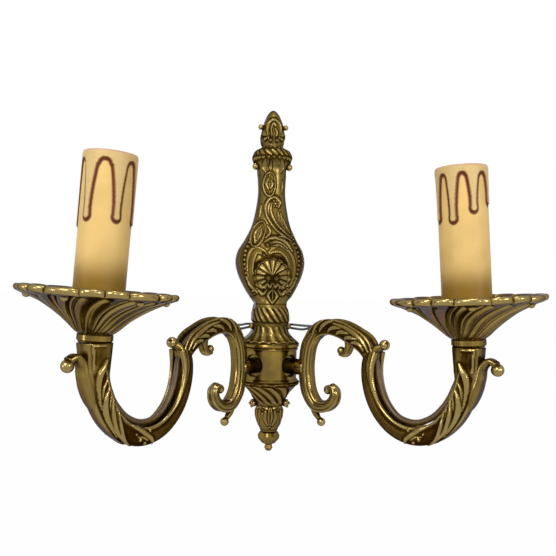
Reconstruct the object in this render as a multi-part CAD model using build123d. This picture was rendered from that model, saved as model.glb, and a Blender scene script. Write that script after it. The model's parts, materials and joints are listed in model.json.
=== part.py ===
from build123d import *
from math import atan2, cos, pi, radians, sin, tan
import os

# Two-arm candelabra wall sconce in cast and turned brass, in millimetres.
# The wall is the plane y = 0, the viewer stands towards -Y, and +Z is up.
# The origin is the centre of the hanging hole, on the wall plane.

# Driving dimensions of the whole
HUB_DEPTH = 18.7
RIM_HEIGHT = -24.0
ARM_AZIMUTH = 45.0
CANDLE_REACH = 98.6
CANDLE_LEAN = 3.5

# Driving dimensions of the candle cup
SLEEVE_RADIUS = 13.5
SLEEVE_WALL = 1.5
SLEEVE_LENGTH = 85.0
SLEEVE_FOOT = -14.0
PAN_RADIUS = 42.2
# Lobes of the pan's rim, as shares of a turn in degrees, and the first notch seen from the front
PAN_LOBES = (26.0, 17.0, 17.0) * 6
PAN_FIRST_NOTCH = -30.0
PAN_SWIRL = 34.0
PAN_GROOVE = 2.0
BULB_RADIUS = 2.0
BULB_PLACE = (35.6, -4.6)
PAN_FLOOR = -14.3
PAN_FOOT = -22.8
COLLAR_RADIUS = 9.4
COLLAR_HEIGHT = 4.8
NECK_RADIUS = 8.3
NIPPLE_RADIUS = 5.0
NIPPLE_BORE = 3.8
NIPPLE_TOP = -8.8
BRACKET_THICKNESS = 1.0
BRACKET_REACH = 10.4
LAMP_THREAD_RADIUS = 7.0
SHELL_WALL = 0.5
SHELL_LENGTH = 20.0
HOLDER_RADIUS = 11.2
HOLDER_LENGTH = 40.0
HOLDER_TOP = SLEEVE_FOOT + SLEEVE_LENGTH - 0.8
SHELL_DROP = 1.5
CONTACT_DROP = 2.4
CONTACT_THICKNESS = 0.5
CONTACT_POCKET_RADIUS = 4.3

# Driving dimensions of the arm, whose plane stands upright through the hub's axis
GUTTER_RADIUS = 3.8
FLEX_RADIUS = 1.8
CORE_RADIUS = 0.8
STUB_RADIUS = 5.2
STUB_HEIGHT = -48.0
STUB_ROOT = 31.0
ARM_SCREW_RADIUS = 3.0
ARM_SCREW_REACH = 24.0
LEAD_BORE_RADIUS = 2.6
NECK_LENGTH = 12.0

# Driving dimensions of the pillar, hub and cone
PILLAR_WALL = 3.0
PILLAR_HOLLOW = (17.0, 7.0, 28.0)
PILLAR_HOLLOW_HEIGHT = -38.0
SKIRT_FOOT = -58.0
DRUM_RADIUS = 17.8
DRUM_FOOT = -82.7
DRUM_BORE = 12.0
DRUM_LID = 5.0
NICHE_FLOOR = 15.4
NICHE_RADIUS = 7.4
SEAT_RADIUS = 6.2
WASHER_THICKNESS = 1.0
HUB_WASHER_THICKNESS = 1.2
ROD_RADIUS = 3.0
ROD_DEPTH = 14.0
CONE_FOOT = -116.8
TIP_END = -130.6

# Driving dimensions of the strap and the terminal behind the pillar
STRAP_THICKNESS = 2.0
STRAP_LENGTH = 36.4
STRAP_HEIGHT = 12.0
STRAP_SCREW_REACH = 15.5
STRAP_SCREW_RADIUS = 1.5
STRAP_HEAD_RADIUS = 2.9
STRAP_HEAD_HEIGHT = 1.4
STRAP_BOSS_RADIUS = 3.4
STRAP_BOSS_LENGTH = 13.0
HANGING_HOLE_RADIUS = 3.0
TERMINAL_SIZE = (12.0, 10.0, 18.0)
TERMINAL_HEIGHT = -16.0
TERMINAL_DEPTH = 9.0
TERMINAL_PITCH = 9.0
POLE_RADIUS = 1.9
CLAMP_REACH = 3.4
CLAMP_RADIUS = 1.45
CLAMP_FACE = 4.4
FIXING_RADIUS = 1.3
FIXING_BOSS_RADIUS = 3.0
WIRE_NOTCH_HEIGHT = -47.0
WIRE_NOTCH = (60.0, 5.0, 6.4)

# Clearance round a screw or rod, and between a screw's thread and its hole
SLIP = 0.1
THREAD_FIT = 0.02
FROM_LOW = (Align.CENTER, Align.CENTER, Align.MIN)

ARM_PLANE = Plane(
    origin=(0, -HUB_DEPTH, RIM_HEIGHT),
    x_dir=(cos(radians(ARM_AZIMUTH)), -sin(radians(ARM_AZIMUTH)), 0),
    z_dir=(-sin(radians(ARM_AZIMUTH)), -cos(radians(ARM_AZIMUTH)), 0),
)
HUB_PLANE = Plane(origin=(0, -HUB_DEPTH, 0))

# Centre lines of the arm's scrolls: (distance from hub axis, height over pan rim, thickness, width)
LARGE_SCROLL = [
    (141.2, -33.0, 15.5, 15.5),
    (141.2, -43.0, 14.5, 14.5),
    (139.0, -55.0, 12.5, 13.5),
    (133.0, -67.5, 10.8, 12.8),
    (122.5, -76.8, 10.2, 12.5),
    (110.0, -80.3, 10.4, 12.5),
    (97.0, -77.3, 10.0, 12.5),
    (86.5, -68.3, 9.6, 12.5),
    (80.4, -55.5, 9.4, 12.5),
    (79.0, -43.0, 9.4, 12.0),
    (80.8, -33.5, 9.0, 10.5),
]
ARCH = [
    (79.5, -35.5, 9.0, 10.5),
    (75.0, -30.2, 11.0, 10.5),
    (67.0, -25.6, 11.2, 10.5),
    (58.0, -21.9, 10.8, 10.2),
    (49.0, -20.9, 9.8, 9.8),
    (40.2, -23.6, 8.8, 9.5),
    (33.8, -31.0, 8.2, 9.5),
    (31.2, -42.0, 8.0, 9.5),
    (31.4, -54.0, 8.0, 9.5),
    (34.4, -65.0, 7.8, 9.5),
    (40.3, -71.2, 7.2, 9.2),
    (47.6, -70.9, 6.4, 8.6),
    (53.0, -66.2, 5.6, 8.0),
    (53.6, -60.6, 4.8, 7.4),
    (50.2, -58.0, 4.2, 7.0),
]
OUTER_CURL = [
    (145.0, -53.0, 6.0, 11.0),
    (147.6, -44.0, 5.2, 10.0),
    (149.4, -37.2, 4.2, 8.6),
    (153.2, -34.2, 3.6, 7.4),
    (157.0, -36.0, 3.6, 6.2),
]
UNDER_CURL = [
    (63.5, -27.5, 5.0, 7.0),
    (63.4, -33.0, 4.4, 6.6),
    (60.8, -37.2, 3.8, 6.0),
    (57.4, -36.8, 3.2, 5.4),
]
DROP_LEAF = [
    (37.6, -70.6, 5.0, 6.0),
    (38.8, -76.0, 3.6, 4.6),
    (41.6, -79.4, 2.6, 3.0),
]
INNER_CURL = [
    (80.8, -38.0, 6.0, 10.5),
    (83.4, -33.0, 5.0, 8.0),
    (87.0, -30.6, 4.0, 5.0),
]
# Ball ends of the curls: (distance from hub axis, height over pan rim, radius)
OUTER_BALL = (157.3, -38.6, 3.5)
INNER_BALL = (88.4, -29.8, 3.2)
UNDER_BALL = (57.6, -35.2, 2.6)
VOLUTE_EYE = (48.2, -60.4, 2.9)
DROP_BALL = (43.2, -81.2, 2.7)

# Route of the flex along the gutter, in the arm's plane: (distance from hub axis, height)
FLEX_ROUTE = [
    (134.6, -47.0),
    (129.6, -58.5),
    (121.0, -68.5),
    (110.0, -73.6),
    (98.0, -71.6),
    (89.4, -62.0),
    (84.8, -50.0),
    (83.2, -39.0),
    (78.4, -30.6),
    (70.6, -24.8),
    (60.4, -19.8),
    (50.0, -18.0),
    (43.0, -19.6),
]
GUTTER_HUB_END = [
    (37.6, -22.4),
    (30.6, -28.6),
    (27.8, -37.0),
]

# Where the cores leave the gutter, in line with the flex's end
CORE_LEAVE = (36.7, -21.04)
# Route of the right arm's two cores behind the pillar, to the lower and the upper pole
CORE_ROUTES = [
    [
        (21.0, -28.6, -48.3),
        (17.0, -12.0, -48.4),
        (13.6, -3.0, -48.2),
        (5.0, -4.0, -47.6),
        (2.7, -4.0, -41.0),
        (2.6, -3.9, -29.5),
        (6.7, -5.0, -26.8),
        (10.4, -8.4, -22.6),
        (8.4, -9.0, -20.5),
        (3.6, -9.0, -20.5),
    ],
    [
        (19.4, -29.6, -45.4),
        (17.6, -12.0, -45.8),
        (13.2, -2.1, -46.0),
        (6.2, -1.7, -46.0),
        (4.9, -1.8, -40.0),
        (4.9, -1.8, -28.5),
        (9.6, -3.8, -20.0),
        (12.0, -7.0, -14.6),
        (9.6, -9.0, -11.5),
        (3.6, -9.0, -11.5),
    ],
]

# Pillar sections: (height, half width, depth from the wall)
NECK_SECTIONS = [
    (63.5, 10.2, 14.5),
    (56.0, 9.8, 14.0),
    (45.0, 9.4, 14.0),
    (33.0, 10.9, 15.5),
    (22.5, 13.4, 17.8),
    (12.0, 18.4, 21.4),
    (4.0, 23.0, 24.2),
    (-3.0, 24.2, 25.6),
    (-11.0, 22.6, 26.2),
    (-19.0, 19.0, 26.4),
    (-26.5, 14.4, 26.6),
    (-31.5, 10.6, 27.4),
]
TWIST_SECTIONS = [
    (-31.5, 10.6, 27.4),
    (-36.0, 11.8, 29.4),
    (-41.0, 12.5, 31.0),
    (-44.6, 12.0, 30.6),
]
SKIRT_SECTIONS = [
    (-44.6, 11.2, 29.9),
    (-49.5, 11.8, 30.6),
    (-54.0, 15.0, 33.8),
    (SKIRT_FOOT, 19.6, 38.2),
]
CAP_SECTIONS = [
    (63.5, 10.4, 14.8),
    (66.5, 12.9, 17.0),
    (70.0, 14.0, 18.0),
    (74.0, 12.4, 16.8),
    (77.2, 7.4, 12.6),
]
BUD_SECTIONS = [
    (77.2, 6.7, 12.0),
    (83.5, 8.5, 14.2),
    (90.0, 7.6, 13.4),
    (96.5, 5.6, 11.0),
    (101.5, 2.8, 7.6),
    (103.2, 1.0, 5.4),
]

# Flutes and leaves of the cone: (lobes in a full turn, groove depth, lobes of twist)
CONE_FLUTES = (12, 1.2, 1.0)
BUD_LEAVES = (6, 1.1, 0.0)

# Knobs at the pillar's sides: (reach, place from the wall, height, radius)
PILLAR_KNOBS = [
    (8.6, -6.5, 91.0, 1.9),
    (11.6, -6.5, 63.4, 2.4),
    (12.2, -12.0, -47.0, 2.3),
]
CONE_KNOB = (10.8, -98.3, 2.6)

# Scallop shell on the pillar's belly, with its hinge and its C-scroll frame
SHELL_HINGE = -13.2
SHELL_RADIUS = 12.4
SHELL_LOBES = 11
SHELL_SPREAD = 250.0
SHELL_NOTCH = 1.1
SHELL_PROUD = 1.8
SHELL_GROOVE = 1.3
BELLY_RADIUS = 22.0
PENDANT = (-26.6, 2.4, 4.6)
CREST_BEAD = (-3.6, 8.5, 1.8)
FRAME_RADIUS = 1.5
FRAME_CURL_RADIUS = 2.1
# Half of the frame: (distance from the centre line, height)
FRAME_ROUTE = [
    (2.9, 3.6),
    (6.4, 5.6),
    (11.2, 3.4),
    (14.2, -3.0),
    (15.0, -10.0),
    (13.0, -17.4),
    (9.0, -22.2),
    (5.6, -22.9),
]
CREST_LEAF = [
    (-4.4, 10.8),
    (0.4, 12.6),
    (6.0, 11.6),
    (10.6, 8.4),
    (14.4, 3.0),
]

# Wax runs of the left (-1) and the right (+1) candle: (degrees from the front, length, half width)
DRIPS = {
    -1: [
        (-140.0, 33.0, 2.8),
        (-88.0, 40.0, 2.8),
        (-35.0, 36.0, 2.6),
        (32.0, 36.0, 2.5),
        (88.0, 37.0, 2.7),
        (134.0, 27.0, 2.7),
        (178.0, 38.0, 2.9),
    ],
    1: [
        (-134.0, 24.0, 2.7),
        (-88.0, 30.0, 2.7),
        (-43.0, 31.0, 2.5),
        (4.0, 26.0, 2.5),
        (53.0, 22.0, 2.6),
        (88.0, 19.0, 2.5),
        (128.0, 29.0, 2.7),
        (176.0, 35.0, 2.9),
    ],
}
DRIP_PROUD = 0.8
DRIP_BAND = 4.6


def candle_plane(side):
    """Plane at a pan's rim centre, square to its leaning candle axis; side is +1 right, -1 left."""
    lean = radians(CANDLE_LEAN)
    return Plane(
        origin=(side * CANDLE_REACH, -HUB_DEPTH - CANDLE_REACH, RIM_HEIGHT),
        x_dir=(cos(lean), 0, side * sin(lean)),
        z_dir=(-side * sin(lean), 0, cos(lean)),
    )


def turned(profile):
    """Revolve a closed outline of (radius, height) points about the vertical axis."""
    return revolve(Plane.XZ * make_face(Polyline(profile, close=True)), Axis.Z)


def tube_solid(outer, inner, low, high):
    """Plain tube standing between two heights."""
    ring = Circle(outer) - Circle(inner)
    return extrude(Plane.XY.offset(low) * ring, high - low)


def rod(radius, length):
    """Round bar that stands on the origin."""
    return Cylinder(radius, length, align=FROM_LOW)


def rounded_path(points, widest=1e9):
    """Straight runs joined by tangent arcs, each as large as its two runs allow."""
    vectors = [Vector(*p) for p in points]
    radii = []
    for before, here, after in zip(vectors, vectors[1:], vectors[2:]):
        turn = (here - before).get_angle(after - here)
        shorter = min((here - before).length, (after - here).length)
        radii.append(min(widest, 0.45 * shorter / tan(radians(turn) / 2)))
    return FilletPolyline(*vectors, radius=radii)


def round_tube(points, radius, widest=1e9):
    """Round bar that follows a rounded path."""
    path = rounded_path(points, widest)
    return sweep(Plane(origin=path @ 0, z_dir=path % 0) * Circle(radius), path=path)


def scroll(stations):
    """Loft a tapering bar through stations that lie in the arm's plane."""
    faces = []
    last = len(stations) - 1
    for i, (s, h, thickness, width) in enumerate(stations):
        s0, h0 = stations[max(i - 1, 0)][:2]
        s1, h1 = stations[min(i + 1, last)][:2]
        heading = atan2(h1 - h0, s1 - s0)
        across = Plane(
            origin=(s, h, 0),
            x_dir=(-sin(heading), cos(heading), 0),
            z_dir=(cos(heading), sin(heading), 0),
        )
        corner = 0.36 * min(thickness, width)
        faces.append(across * RectangleRounded(thickness, width, corner))
    return loft(faces)


def ball(place):
    """Ball end of a curl, in the arm's plane."""
    s, h, radius = place
    return Pos(s, h, 0) * Sphere(radius)


def to_arm(x, y, z):
    """Point of the model written in the right arm's own plane."""
    p = ARM_PLANE.to_local_coords(Vector(x, y, z))
    return (p.X, p.Y, p.Z)


def candle_point(height):
    """Point of the right candle axis, in the right arm's own plane."""
    p = candle_plane(1).from_local_coords(Vector(0, 0, height))
    return to_arm(p.X, p.Y, p.Z)


def flex_points():
    """Route of the flex from the lampholder to the top of the hub limb, in the arm's plane."""
    start = [candle_point(PAN_FLOOR + 8), candle_point(-33.0)]
    return start + [(s, h, 0) for s, h in FLEX_ROUTE]


def arm():
    """Right arm in its own plane: two scrolls, curls, neck, hub stub, gutter and bores."""
    body = scroll(LARGE_SCROLL)
    for part in (ARCH, OUTER_CURL, UNDER_CURL, DROP_LEAF, INNER_CURL):
        body += scroll(part)
    for place in (OUTER_BALL, INNER_BALL, UNDER_BALL, VOLUTE_EYE, DROP_BALL):
        body += ball(place)
    body += stub_axis(STUB_ROOT) * rod(STUB_RADIUS, STUB_ROOT - NICHE_FLOOR)
    body = with_neck(body)
    lane = [(s, h, 0) for s, h in FLEX_ROUTE]
    hub_end = [(s, h, 0) for s, h in GUTTER_HUB_END]
    body -= round_tube([candle_point(-33.0)] + lane[:2], LEAD_BORE_RADIUS)
    body -= round_tube(lane[:9], GUTTER_RADIUS)
    body -= round_tube(lane[7:11], LEAD_BORE_RADIUS)
    body -= round_tube(lane[9:] + hub_end, GUTTER_RADIUS - 0.4)
    return body - stub_axis(ARM_SCREW_REACH + 2.0) * rod(ARM_SCREW_RADIUS, NICHE_FLOOR)


def stub_axis(reach):
    """Plane across the hub stub's axis, in the arm's plane, facing the hub."""
    return Plane(origin=(reach, STUB_HEIGHT, 0), z_dir=(-1, 0, 0))


def with_neck(body):
    """Add the turned neck that stands under the collar, and bore it for the nipple."""
    top = PAN_FOOT - COLLAR_HEIGHT
    to_plane = ARM_PLANE.location.inverse() * candle_plane(1).location
    neck = turned(
        [
            (0, top),
            (NECK_RADIUS, top),
            (NECK_RADIUS + 0.2, top - 1.2),
            (NECK_RADIUS - 0.4, top - 2.4),
            (NECK_RADIUS - 0.2, top - NECK_LENGTH),
            (0, top - NECK_LENGTH),
        ]
    )
    return body + to_plane * neck - to_plane * Pos(0, 0, top) * Cylinder(NIPPLE_RADIUS, 36.0)


def lobed_outline(radius, height, depth, turn, lobes):
    """Closed ring of convex lobes at one height; lobes lists their widths in degrees."""
    edges = []
    start = turn
    for width in lobes:
        angles = [radians(start + width * k) for k in (0, 0.5, 1)]
        radii = (radius - depth, radius, radius - depth)
        edges.append(ThreePointArc(*[(r * cos(a), r * sin(a)) for r, a in zip(radii, angles)]))
        start += width
    return Plane.XY.offset(height) * make_face(edges)


def pan_ring(radius, height, depth, share):
    """Lobed ring of the pan, turned back from the rim's place by a share of the swirl."""
    turn = PAN_FIRST_NOTCH - 90.0 - PAN_SWIRL * (1 - share)
    return lobed_outline(radius, height, depth, turn, PAN_LOBES)


def drip_pan():
    """Cast dish with swirled gadroons, a rolled scalloped rim and a floor for the candle."""
    shape = [
        (10.4, PAN_FOOT, 0.3 * PAN_GROOVE, 0.0),
        (15.6, -17.3, 0.6 * PAN_GROOVE, 0.25),
        (25.6, -9.7, 0.9 * PAN_GROOVE, 0.6),
        (36.5, -3.6, PAN_GROOVE, 1.0),
    ]
    dish = loft([pan_ring(*row) for row in shape])
    rim = [
        (36.5, -3.6, PAN_GROOVE, 1.0),
        (41.0, -2.9, PAN_GROOVE, 1.0),
        (PAN_RADIUS, -1.2, PAN_GROOVE, 1.0),
        (41.2, 0.3, PAN_GROOVE, 1.0),
    ]
    dish += loft([pan_ring(*row) for row in rim], ruled=True)
    reach, height = BULB_PLACE
    start = PAN_FIRST_NOTCH
    for width in PAN_LOBES:
        if width == max(PAN_LOBES):
            place = Rot(0, 0, start - 90.0 + width / 2) * Pos(reach, 0, height)
            dish += place * Sphere(BULB_RADIUS)
        start += width
    cavity = [
        (0, 1.0),
        (38.9, 1.0),
        (37.9, -0.6),
        (33.5, -1.6),
        (24.6, -5.9),
        (16.2, -12.8),
        (15.2, PAN_FLOOR),
        (0, PAN_FLOOR),
    ]
    dish -= turned(cavity)
    return dish - Cylinder(NIPPLE_RADIUS + SLIP, 80)


def cup_collar():
    """Turned ring between the arm's neck and the pan."""
    top, foot = PAN_FOOT, PAN_FOOT - COLLAR_HEIGHT
    ring = [
        (NIPPLE_RADIUS + SLIP, foot),
        (COLLAR_RADIUS - 0.9, foot),
        (COLLAR_RADIUS - 0.5, foot + 0.9),
        (COLLAR_RADIUS, foot + 1.3),
        (COLLAR_RADIUS, top - 0.9),
        (COLLAR_RADIUS - 0.6, top),
        (NIPPLE_RADIUS + SLIP, top),
    ]
    return turned(ring)


def cup_nipple():
    """Hollow threaded tube that clamps arm, collar, pan and lampholder together."""
    foot = PAN_FOOT - COLLAR_HEIGHT - 8.0
    return tube_solid(NIPPLE_RADIUS - THREAD_FIT, NIPPLE_BORE, foot, NIPPLE_TOP)


def holder_bracket():
    """Sheet-steel stirrup that stands on the pan's floor and carries the lampholder."""
    base = tube_solid(10.6, NIPPLE_RADIUS + SLIP, PAN_FLOOR, PAN_FLOOR + BRACKET_THICKNESS)
    leg_top = HOLDER_TOP - HOLDER_LENGTH + 9.8
    leg = Box(BRACKET_THICKNESS, 7.0, leg_top - PAN_FLOOR, align=FROM_LOW)
    for side in (1, -1):
        base += Pos(side * (BRACKET_REACH - BRACKET_THICKNESS / 2), 0, PAN_FLOOR) * leg
    return base


def holder_locknut():
    """Hexagon nut on the nipple, over the bracket's base."""
    nut = Plane.XY.offset(PAN_FLOOR + BRACKET_THICKNESS) * RegularPolygon(8.0, 6)
    return extrude(nut, 3.0) - Cylinder(NIPPLE_RADIUS, 80)


def holder_body():
    """Moulded lampholder, open at the top for the lamp and flatted where the bracket grips."""
    top = HOLDER_TOP
    foot = top - HOLDER_LENGTH
    body = extrude(Plane.XY.offset(foot) * Circle(HOLDER_RADIUS), HOLDER_LENGTH)
    body = chamfer(body.edges().group_by(Axis.Z)[0], 1.5)
    well = SHELL_DROP + SHELL_LENGTH
    body -= Pos(0, 0, top) * Cylinder(LAMP_THREAD_RADIUS + SHELL_WALL, 2 * well)
    body -= Pos(0, 0, top) * Cylinder(CONTACT_POCKET_RADIUS, 2 * (well + CONTACT_DROP))
    slot = Box(3.0, 7.2, 10.2, align=FROM_LOW)
    for x in (BRACKET_REACH + 0.4, -BRACKET_REACH - 0.4):
        body -= Pos(x, 0, foot - 0.1) * slot
    for y in (5.5, -5.5):
        body -= Pos(0, y, foot + 4) * Cylinder(2.0, 10.0)
    return body


def thread_shell():
    """Metal screw shell for the lamp cap."""
    top = HOLDER_TOP - SHELL_DROP
    wall = tube_solid(
        LAMP_THREAD_RADIUS + SHELL_WALL, LAMP_THREAD_RADIUS, top - SHELL_LENGTH, top
    )
    floor = tube_solid(LAMP_THREAD_RADIUS, 4.5, top - SHELL_LENGTH, top - SHELL_LENGTH + 0.5)
    return wall + floor


def centre_contact():
    """Sprung tongue under the lamp's centre contact."""
    foot = HOLDER_TOP - SHELL_DROP - SHELL_LENGTH - CONTACT_DROP
    base = Pos(0, 0, foot) * Box(7.0, 4.0, CONTACT_THICKNESS, align=FROM_LOW)
    dome = Cone(2.0, 1.2, CONTACT_DROP - CONTACT_THICKNESS, align=FROM_LOW)
    return base + Pos(0, 0, foot + CONTACT_THICKNESS) * dome


def candle_sleeve(side):
    """Plastic candle cover, a tube with a thickened, dripping top edge."""
    top = SLEEVE_FOOT + SLEEVE_LENGTH
    body = extrude(Plane.XY.offset(SLEEVE_FOOT) * Circle(SLEEVE_RADIUS), SLEEVE_LENGTH)
    body += Pos(0, 0, top - DRIP_BAND) * rod(SLEEVE_RADIUS + DRIP_PROUD, DRIP_BAND)
    for angle, length, half in DRIPS[side]:
        body += Rot(0, 0, angle) * drip(top, length, half)
    return body - Cylinder(SLEEVE_RADIUS - SLEEVE_WALL, 4 * SLEEVE_LENGTH)


def drip(top, length, half):
    """One wax run at the front, a rounded tongue that follows the sleeve's round."""
    flat = RectangleRounded(2 * half, length - 1.0, half - 0.1)
    place = Pos(0, top - (length + 1.0) / 2)
    bar = extrude(Plane.XZ * place * flat, 20) - Cylinder(SLEEVE_RADIUS - 1.0, 4 * SLEEVE_LENGTH)
    return bar & Cylinder(SLEEVE_RADIUS + DRIP_PROUD - 0.05, 4 * SLEEVE_LENGTH)


def section(height, half_width, depth, back=0.0):
    """Flat-backed pillar section with a round front."""
    bulge = min(half_width, depth - 0.5)
    shoulder = depth - bulge
    outline = [
        Line((half_width, back), (-half_width, back)),
        Line((-half_width, back), (-half_width, -shoulder)),
        EllipticalCenterArc((0, -shoulder), half_width, bulge, start_angle=180, arc_size=180),
        Line((half_width, -shoulder), (half_width, back)),
    ]
    return Plane.XY.offset(height) * make_face(outline)


def pillar_part(sections, inset=0.0, back=0.0):
    """Loft one stretch of the pillar, or its hollow when an inset is given."""
    return loft([section(z, a - inset, d - inset, back) for z, a, d in sections])


def front_depth(x, z):
    """Depth of the belly's plain front at a point, from the sections above and below it."""
    for (high, a1, d1), (low, a0, d0) in zip(NECK_SECTIONS, NECK_SECTIONS[1:]):
        if low <= z <= high:
            share = (z - low) / (high - low)
            half = a0 + (a1 - a0) * share
            depth = d0 + (d1 - d0) * share
            return depth - half + (half**2 - x**2) ** 0.5
    raise ValueError("the point lies above or below the neck")


def on_front(x, z, proud=0.0):
    """Point on the belly's front, in the model's own axes."""
    return (x, -front_depth(x, z) - proud, z)


def shell_outline():
    """Fan of lobes round the hinge, closed by a straight line under it."""
    width = SHELL_SPREAD / SHELL_LOBES
    edges = []
    for i in range(SHELL_LOBES):
        angles = [radians(width * (i + k) - SHELL_SPREAD / 2) for k in (0, 0.5, 1)]
        radii = (SHELL_RADIUS - SHELL_NOTCH, SHELL_RADIUS, SHELL_RADIUS - SHELL_NOTCH)
        points = [(r * sin(a), SHELL_HINGE + r * cos(a)) for r, a in zip(radii, angles)]
        edges.append(ThreePointArc(*points))
    edges.append(Line(edges[-1] @ 1, edges[0] @ 0))
    return make_face(edges)


def scallop_shell():
    """Shell that follows the belly's round front, with a groove between its lobes."""
    crown = front_depth(0, SHELL_HINGE)
    shell = extrude(Plane.XZ * shell_outline(), crown + SHELL_PROUD)
    shell -= Pos(0, 0, SHELL_HINGE) * Box(80, 2 * (crown - 6.0), 80)
    shell &= Pos(0, BELLY_RADIUS - crown, SHELL_HINGE) * Cylinder(BELLY_RADIUS + SHELL_PROUD, 60)
    hinge = Vector(*on_front(0, SHELL_HINGE, SHELL_PROUD))
    width = SHELL_SPREAD / SHELL_LOBES
    for i in range(1, SHELL_LOBES):
        angle = radians(width * i - SHELL_SPREAD / 2)
        rim_x = SHELL_RADIUS * sin(angle)
        rim = Vector(*on_front(rim_x, SHELL_HINGE + SHELL_RADIUS * cos(angle), SHELL_PROUD))
        ray = rim - hinge
        groove = Plane(origin=hinge, z_dir=ray) * Cone(0.1, SHELL_GROOVE, ray.length, align=FROM_LOW)
        shell -= groove
    return shell


def cartouche():
    """Shell, C-scroll frame, crest and pendant of the pillar's belly, as separate solids."""
    pieces = [scallop_shell()]
    height, half, reach = PENDANT
    edge = ThreePointArc((0, reach), (half, 0), (0, -reach))
    leaf = make_face([edge, Line(edge @ 1, edge @ 0)])
    pieces.append(Pos(*on_front(0, height)) * revolve(Plane.XZ * leaf, Axis.Z))
    crest_x, crest_z, crest_radius = CREST_BEAD
    pieces.append(Pos(*on_front(crest_x, crest_z)) * Sphere(crest_radius))
    pieces.append(round_tube([on_front(x, z) for x, z in CREST_LEAF], 1.1))
    for side in (1, -1):
        route = [on_front(side * x, z) for x, z in FRAME_ROUTE]
        pieces.append(round_tube(route, FRAME_RADIUS))
        pieces.append(Pos(*route[0]) * Sphere(FRAME_CURL_RADIUS))
    return pieces


def pillar_front():
    """The casting's outside: belly, waist, skirt, cap, bud, knobs and cartouche."""
    body = pillar_part(NECK_SECTIONS)
    for sections in (TWIST_SECTIONS, SKIRT_SECTIONS, CAP_SECTIONS, BUD_SECTIONS):
        body += pillar_part(sections)
    for x, y, z, radius in PILLAR_KNOBS:
        for side in (1, -1):
            body += Pos(side * x, y, z) * Sphere(radius)
    for piece in cartouche():
        body += piece
    return body


def pillar_casting():
    """Half-round relief casting, hollow behind, with bosses for the strap and the terminal."""
    body = pillar_front()
    body -= pillar_part(NECK_SECTIONS[2:11], PILLAR_WALL, 1.0)
    for x in (-STRAP_SCREW_REACH, STRAP_SCREW_REACH):
        boss = Pos(x, -STRAP_THICKNESS, 0) * Rot(90, 0, 0)
        body += boss * rod(STRAP_BOSS_RADIUS, STRAP_BOSS_LENGTH)
        body -= boss * rod(STRAP_SCREW_RADIUS, 8.0)
    boss = Pos(0, -TERMINAL_DEPTH - TERMINAL_SIZE[1] / 2, TERMINAL_HEIGHT) * Rot(90, 0, 0)
    body += boss * rod(FIXING_BOSS_RADIUS, 11.0)
    body -= boss * rod(FIXING_RADIUS, 8.0)
    wide, deep, high = PILLAR_HOLLOW
    body -= Pos(0, 0, PILLAR_HOLLOW_HEIGHT) * Box(wide, 2 * deep, high)
    wide, deep, high = WIRE_NOTCH
    body -= Pos(0, 0, WIRE_NOTCH_HEIGHT) * Box(wide, 2 * deep, high)
    return body - HUB_PLANE * Pos(0, 0, SKIRT_FOOT) * Cylinder(ROD_RADIUS, 2 * ROD_DEPTH)


def hanging_strap():
    """Flat bar across the pillar's back, with the hole that hangs on the wall screw."""
    bar = Pos(0, -STRAP_THICKNESS / 2, 0) * Box(STRAP_LENGTH, STRAP_THICKNESS, STRAP_HEIGHT)
    bar -= Rot(90, 0, 0) * Cylinder(HANGING_HOLE_RADIUS, 20.0)
    hole_radius = STRAP_SCREW_RADIUS + SLIP
    sink_radius = STRAP_HEAD_RADIUS + 2 * SLIP
    for x in (-STRAP_SCREW_REACH, STRAP_SCREW_REACH):
        sink = Pos(x, 0, 0) * Rot(90, 0, 0)
        bar -= sink * Cylinder(hole_radius, 20.0)
        bar -= sink * Cone(sink_radius, hole_radius, STRAP_HEAD_HEIGHT + SLIP, align=FROM_LOW)
    return bar


def strap_screws():
    """Two countersunk screws that hold the strap to the pillar's bosses."""
    shank_radius = STRAP_SCREW_RADIUS - THREAD_FIT
    screws = []
    for x in (-STRAP_SCREW_REACH, STRAP_SCREW_REACH):
        seat = Pos(x, -SLIP, 0) * Rot(90, 0, 0)
        head = seat * Cone(STRAP_HEAD_RADIUS, shank_radius, STRAP_HEAD_HEIGHT, align=FROM_LOW)
        screws.append(head + seat * rod(shank_radius, 7.5))
    return Compound(screws)


def terminal_poles():
    """Heights of the terminal's two poles."""
    return (TERMINAL_HEIGHT - TERMINAL_PITCH / 2, TERMINAL_HEIGHT + TERMINAL_PITCH / 2)


def terminal_block():
    """Two-pole screw terminal in the pillar's hollow, one pole over the other."""
    block = Pos(0, -TERMINAL_DEPTH, TERMINAL_HEIGHT) * Box(*TERMINAL_SIZE)
    for z in terminal_poles():
        block -= Pos(0, -TERMINAL_DEPTH, z) * Rot(0, 90, 0) * Cylinder(POLE_RADIUS, 20.0)
        for x in (-CLAMP_REACH, CLAMP_REACH):
            block -= Pos(x, 0, z) * Rot(90, 0, 0) * rod(CLAMP_RADIUS + SLIP / 2, TERMINAL_DEPTH)
    centre = Pos(0, -TERMINAL_DEPTH, TERMINAL_HEIGHT) * Rot(90, 0, 0)
    return block - centre * Cylinder(FIXING_RADIUS + SLIP, 20.0)


def terminal_screws():
    """Four clamp screws of the terminal, two to a pole, driven from the back."""
    screws = []
    for z in terminal_poles():
        for x in (-CLAMP_REACH, CLAMP_REACH):
            screws.append(Pos(x, -CLAMP_FACE, z) * Rot(90, 0, 0) * rod(CLAMP_RADIUS, 3.2))
    return Compound(screws)


def terminal_fixing():
    """Screw through the terminal into the pillar's boss."""
    back = TERMINAL_SIZE[1] / 2 - TERMINAL_DEPTH
    seat = Pos(0, back, TERMINAL_HEIGHT) * Rot(90, 0, 0)
    head = Pos(0, back + 1.4, TERMINAL_HEIGHT) * Rot(90, 0, 0) * rod(2.4, 1.4)
    return head + seat * rod(FIXING_RADIUS - THREAD_FIT, 17.5)


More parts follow.
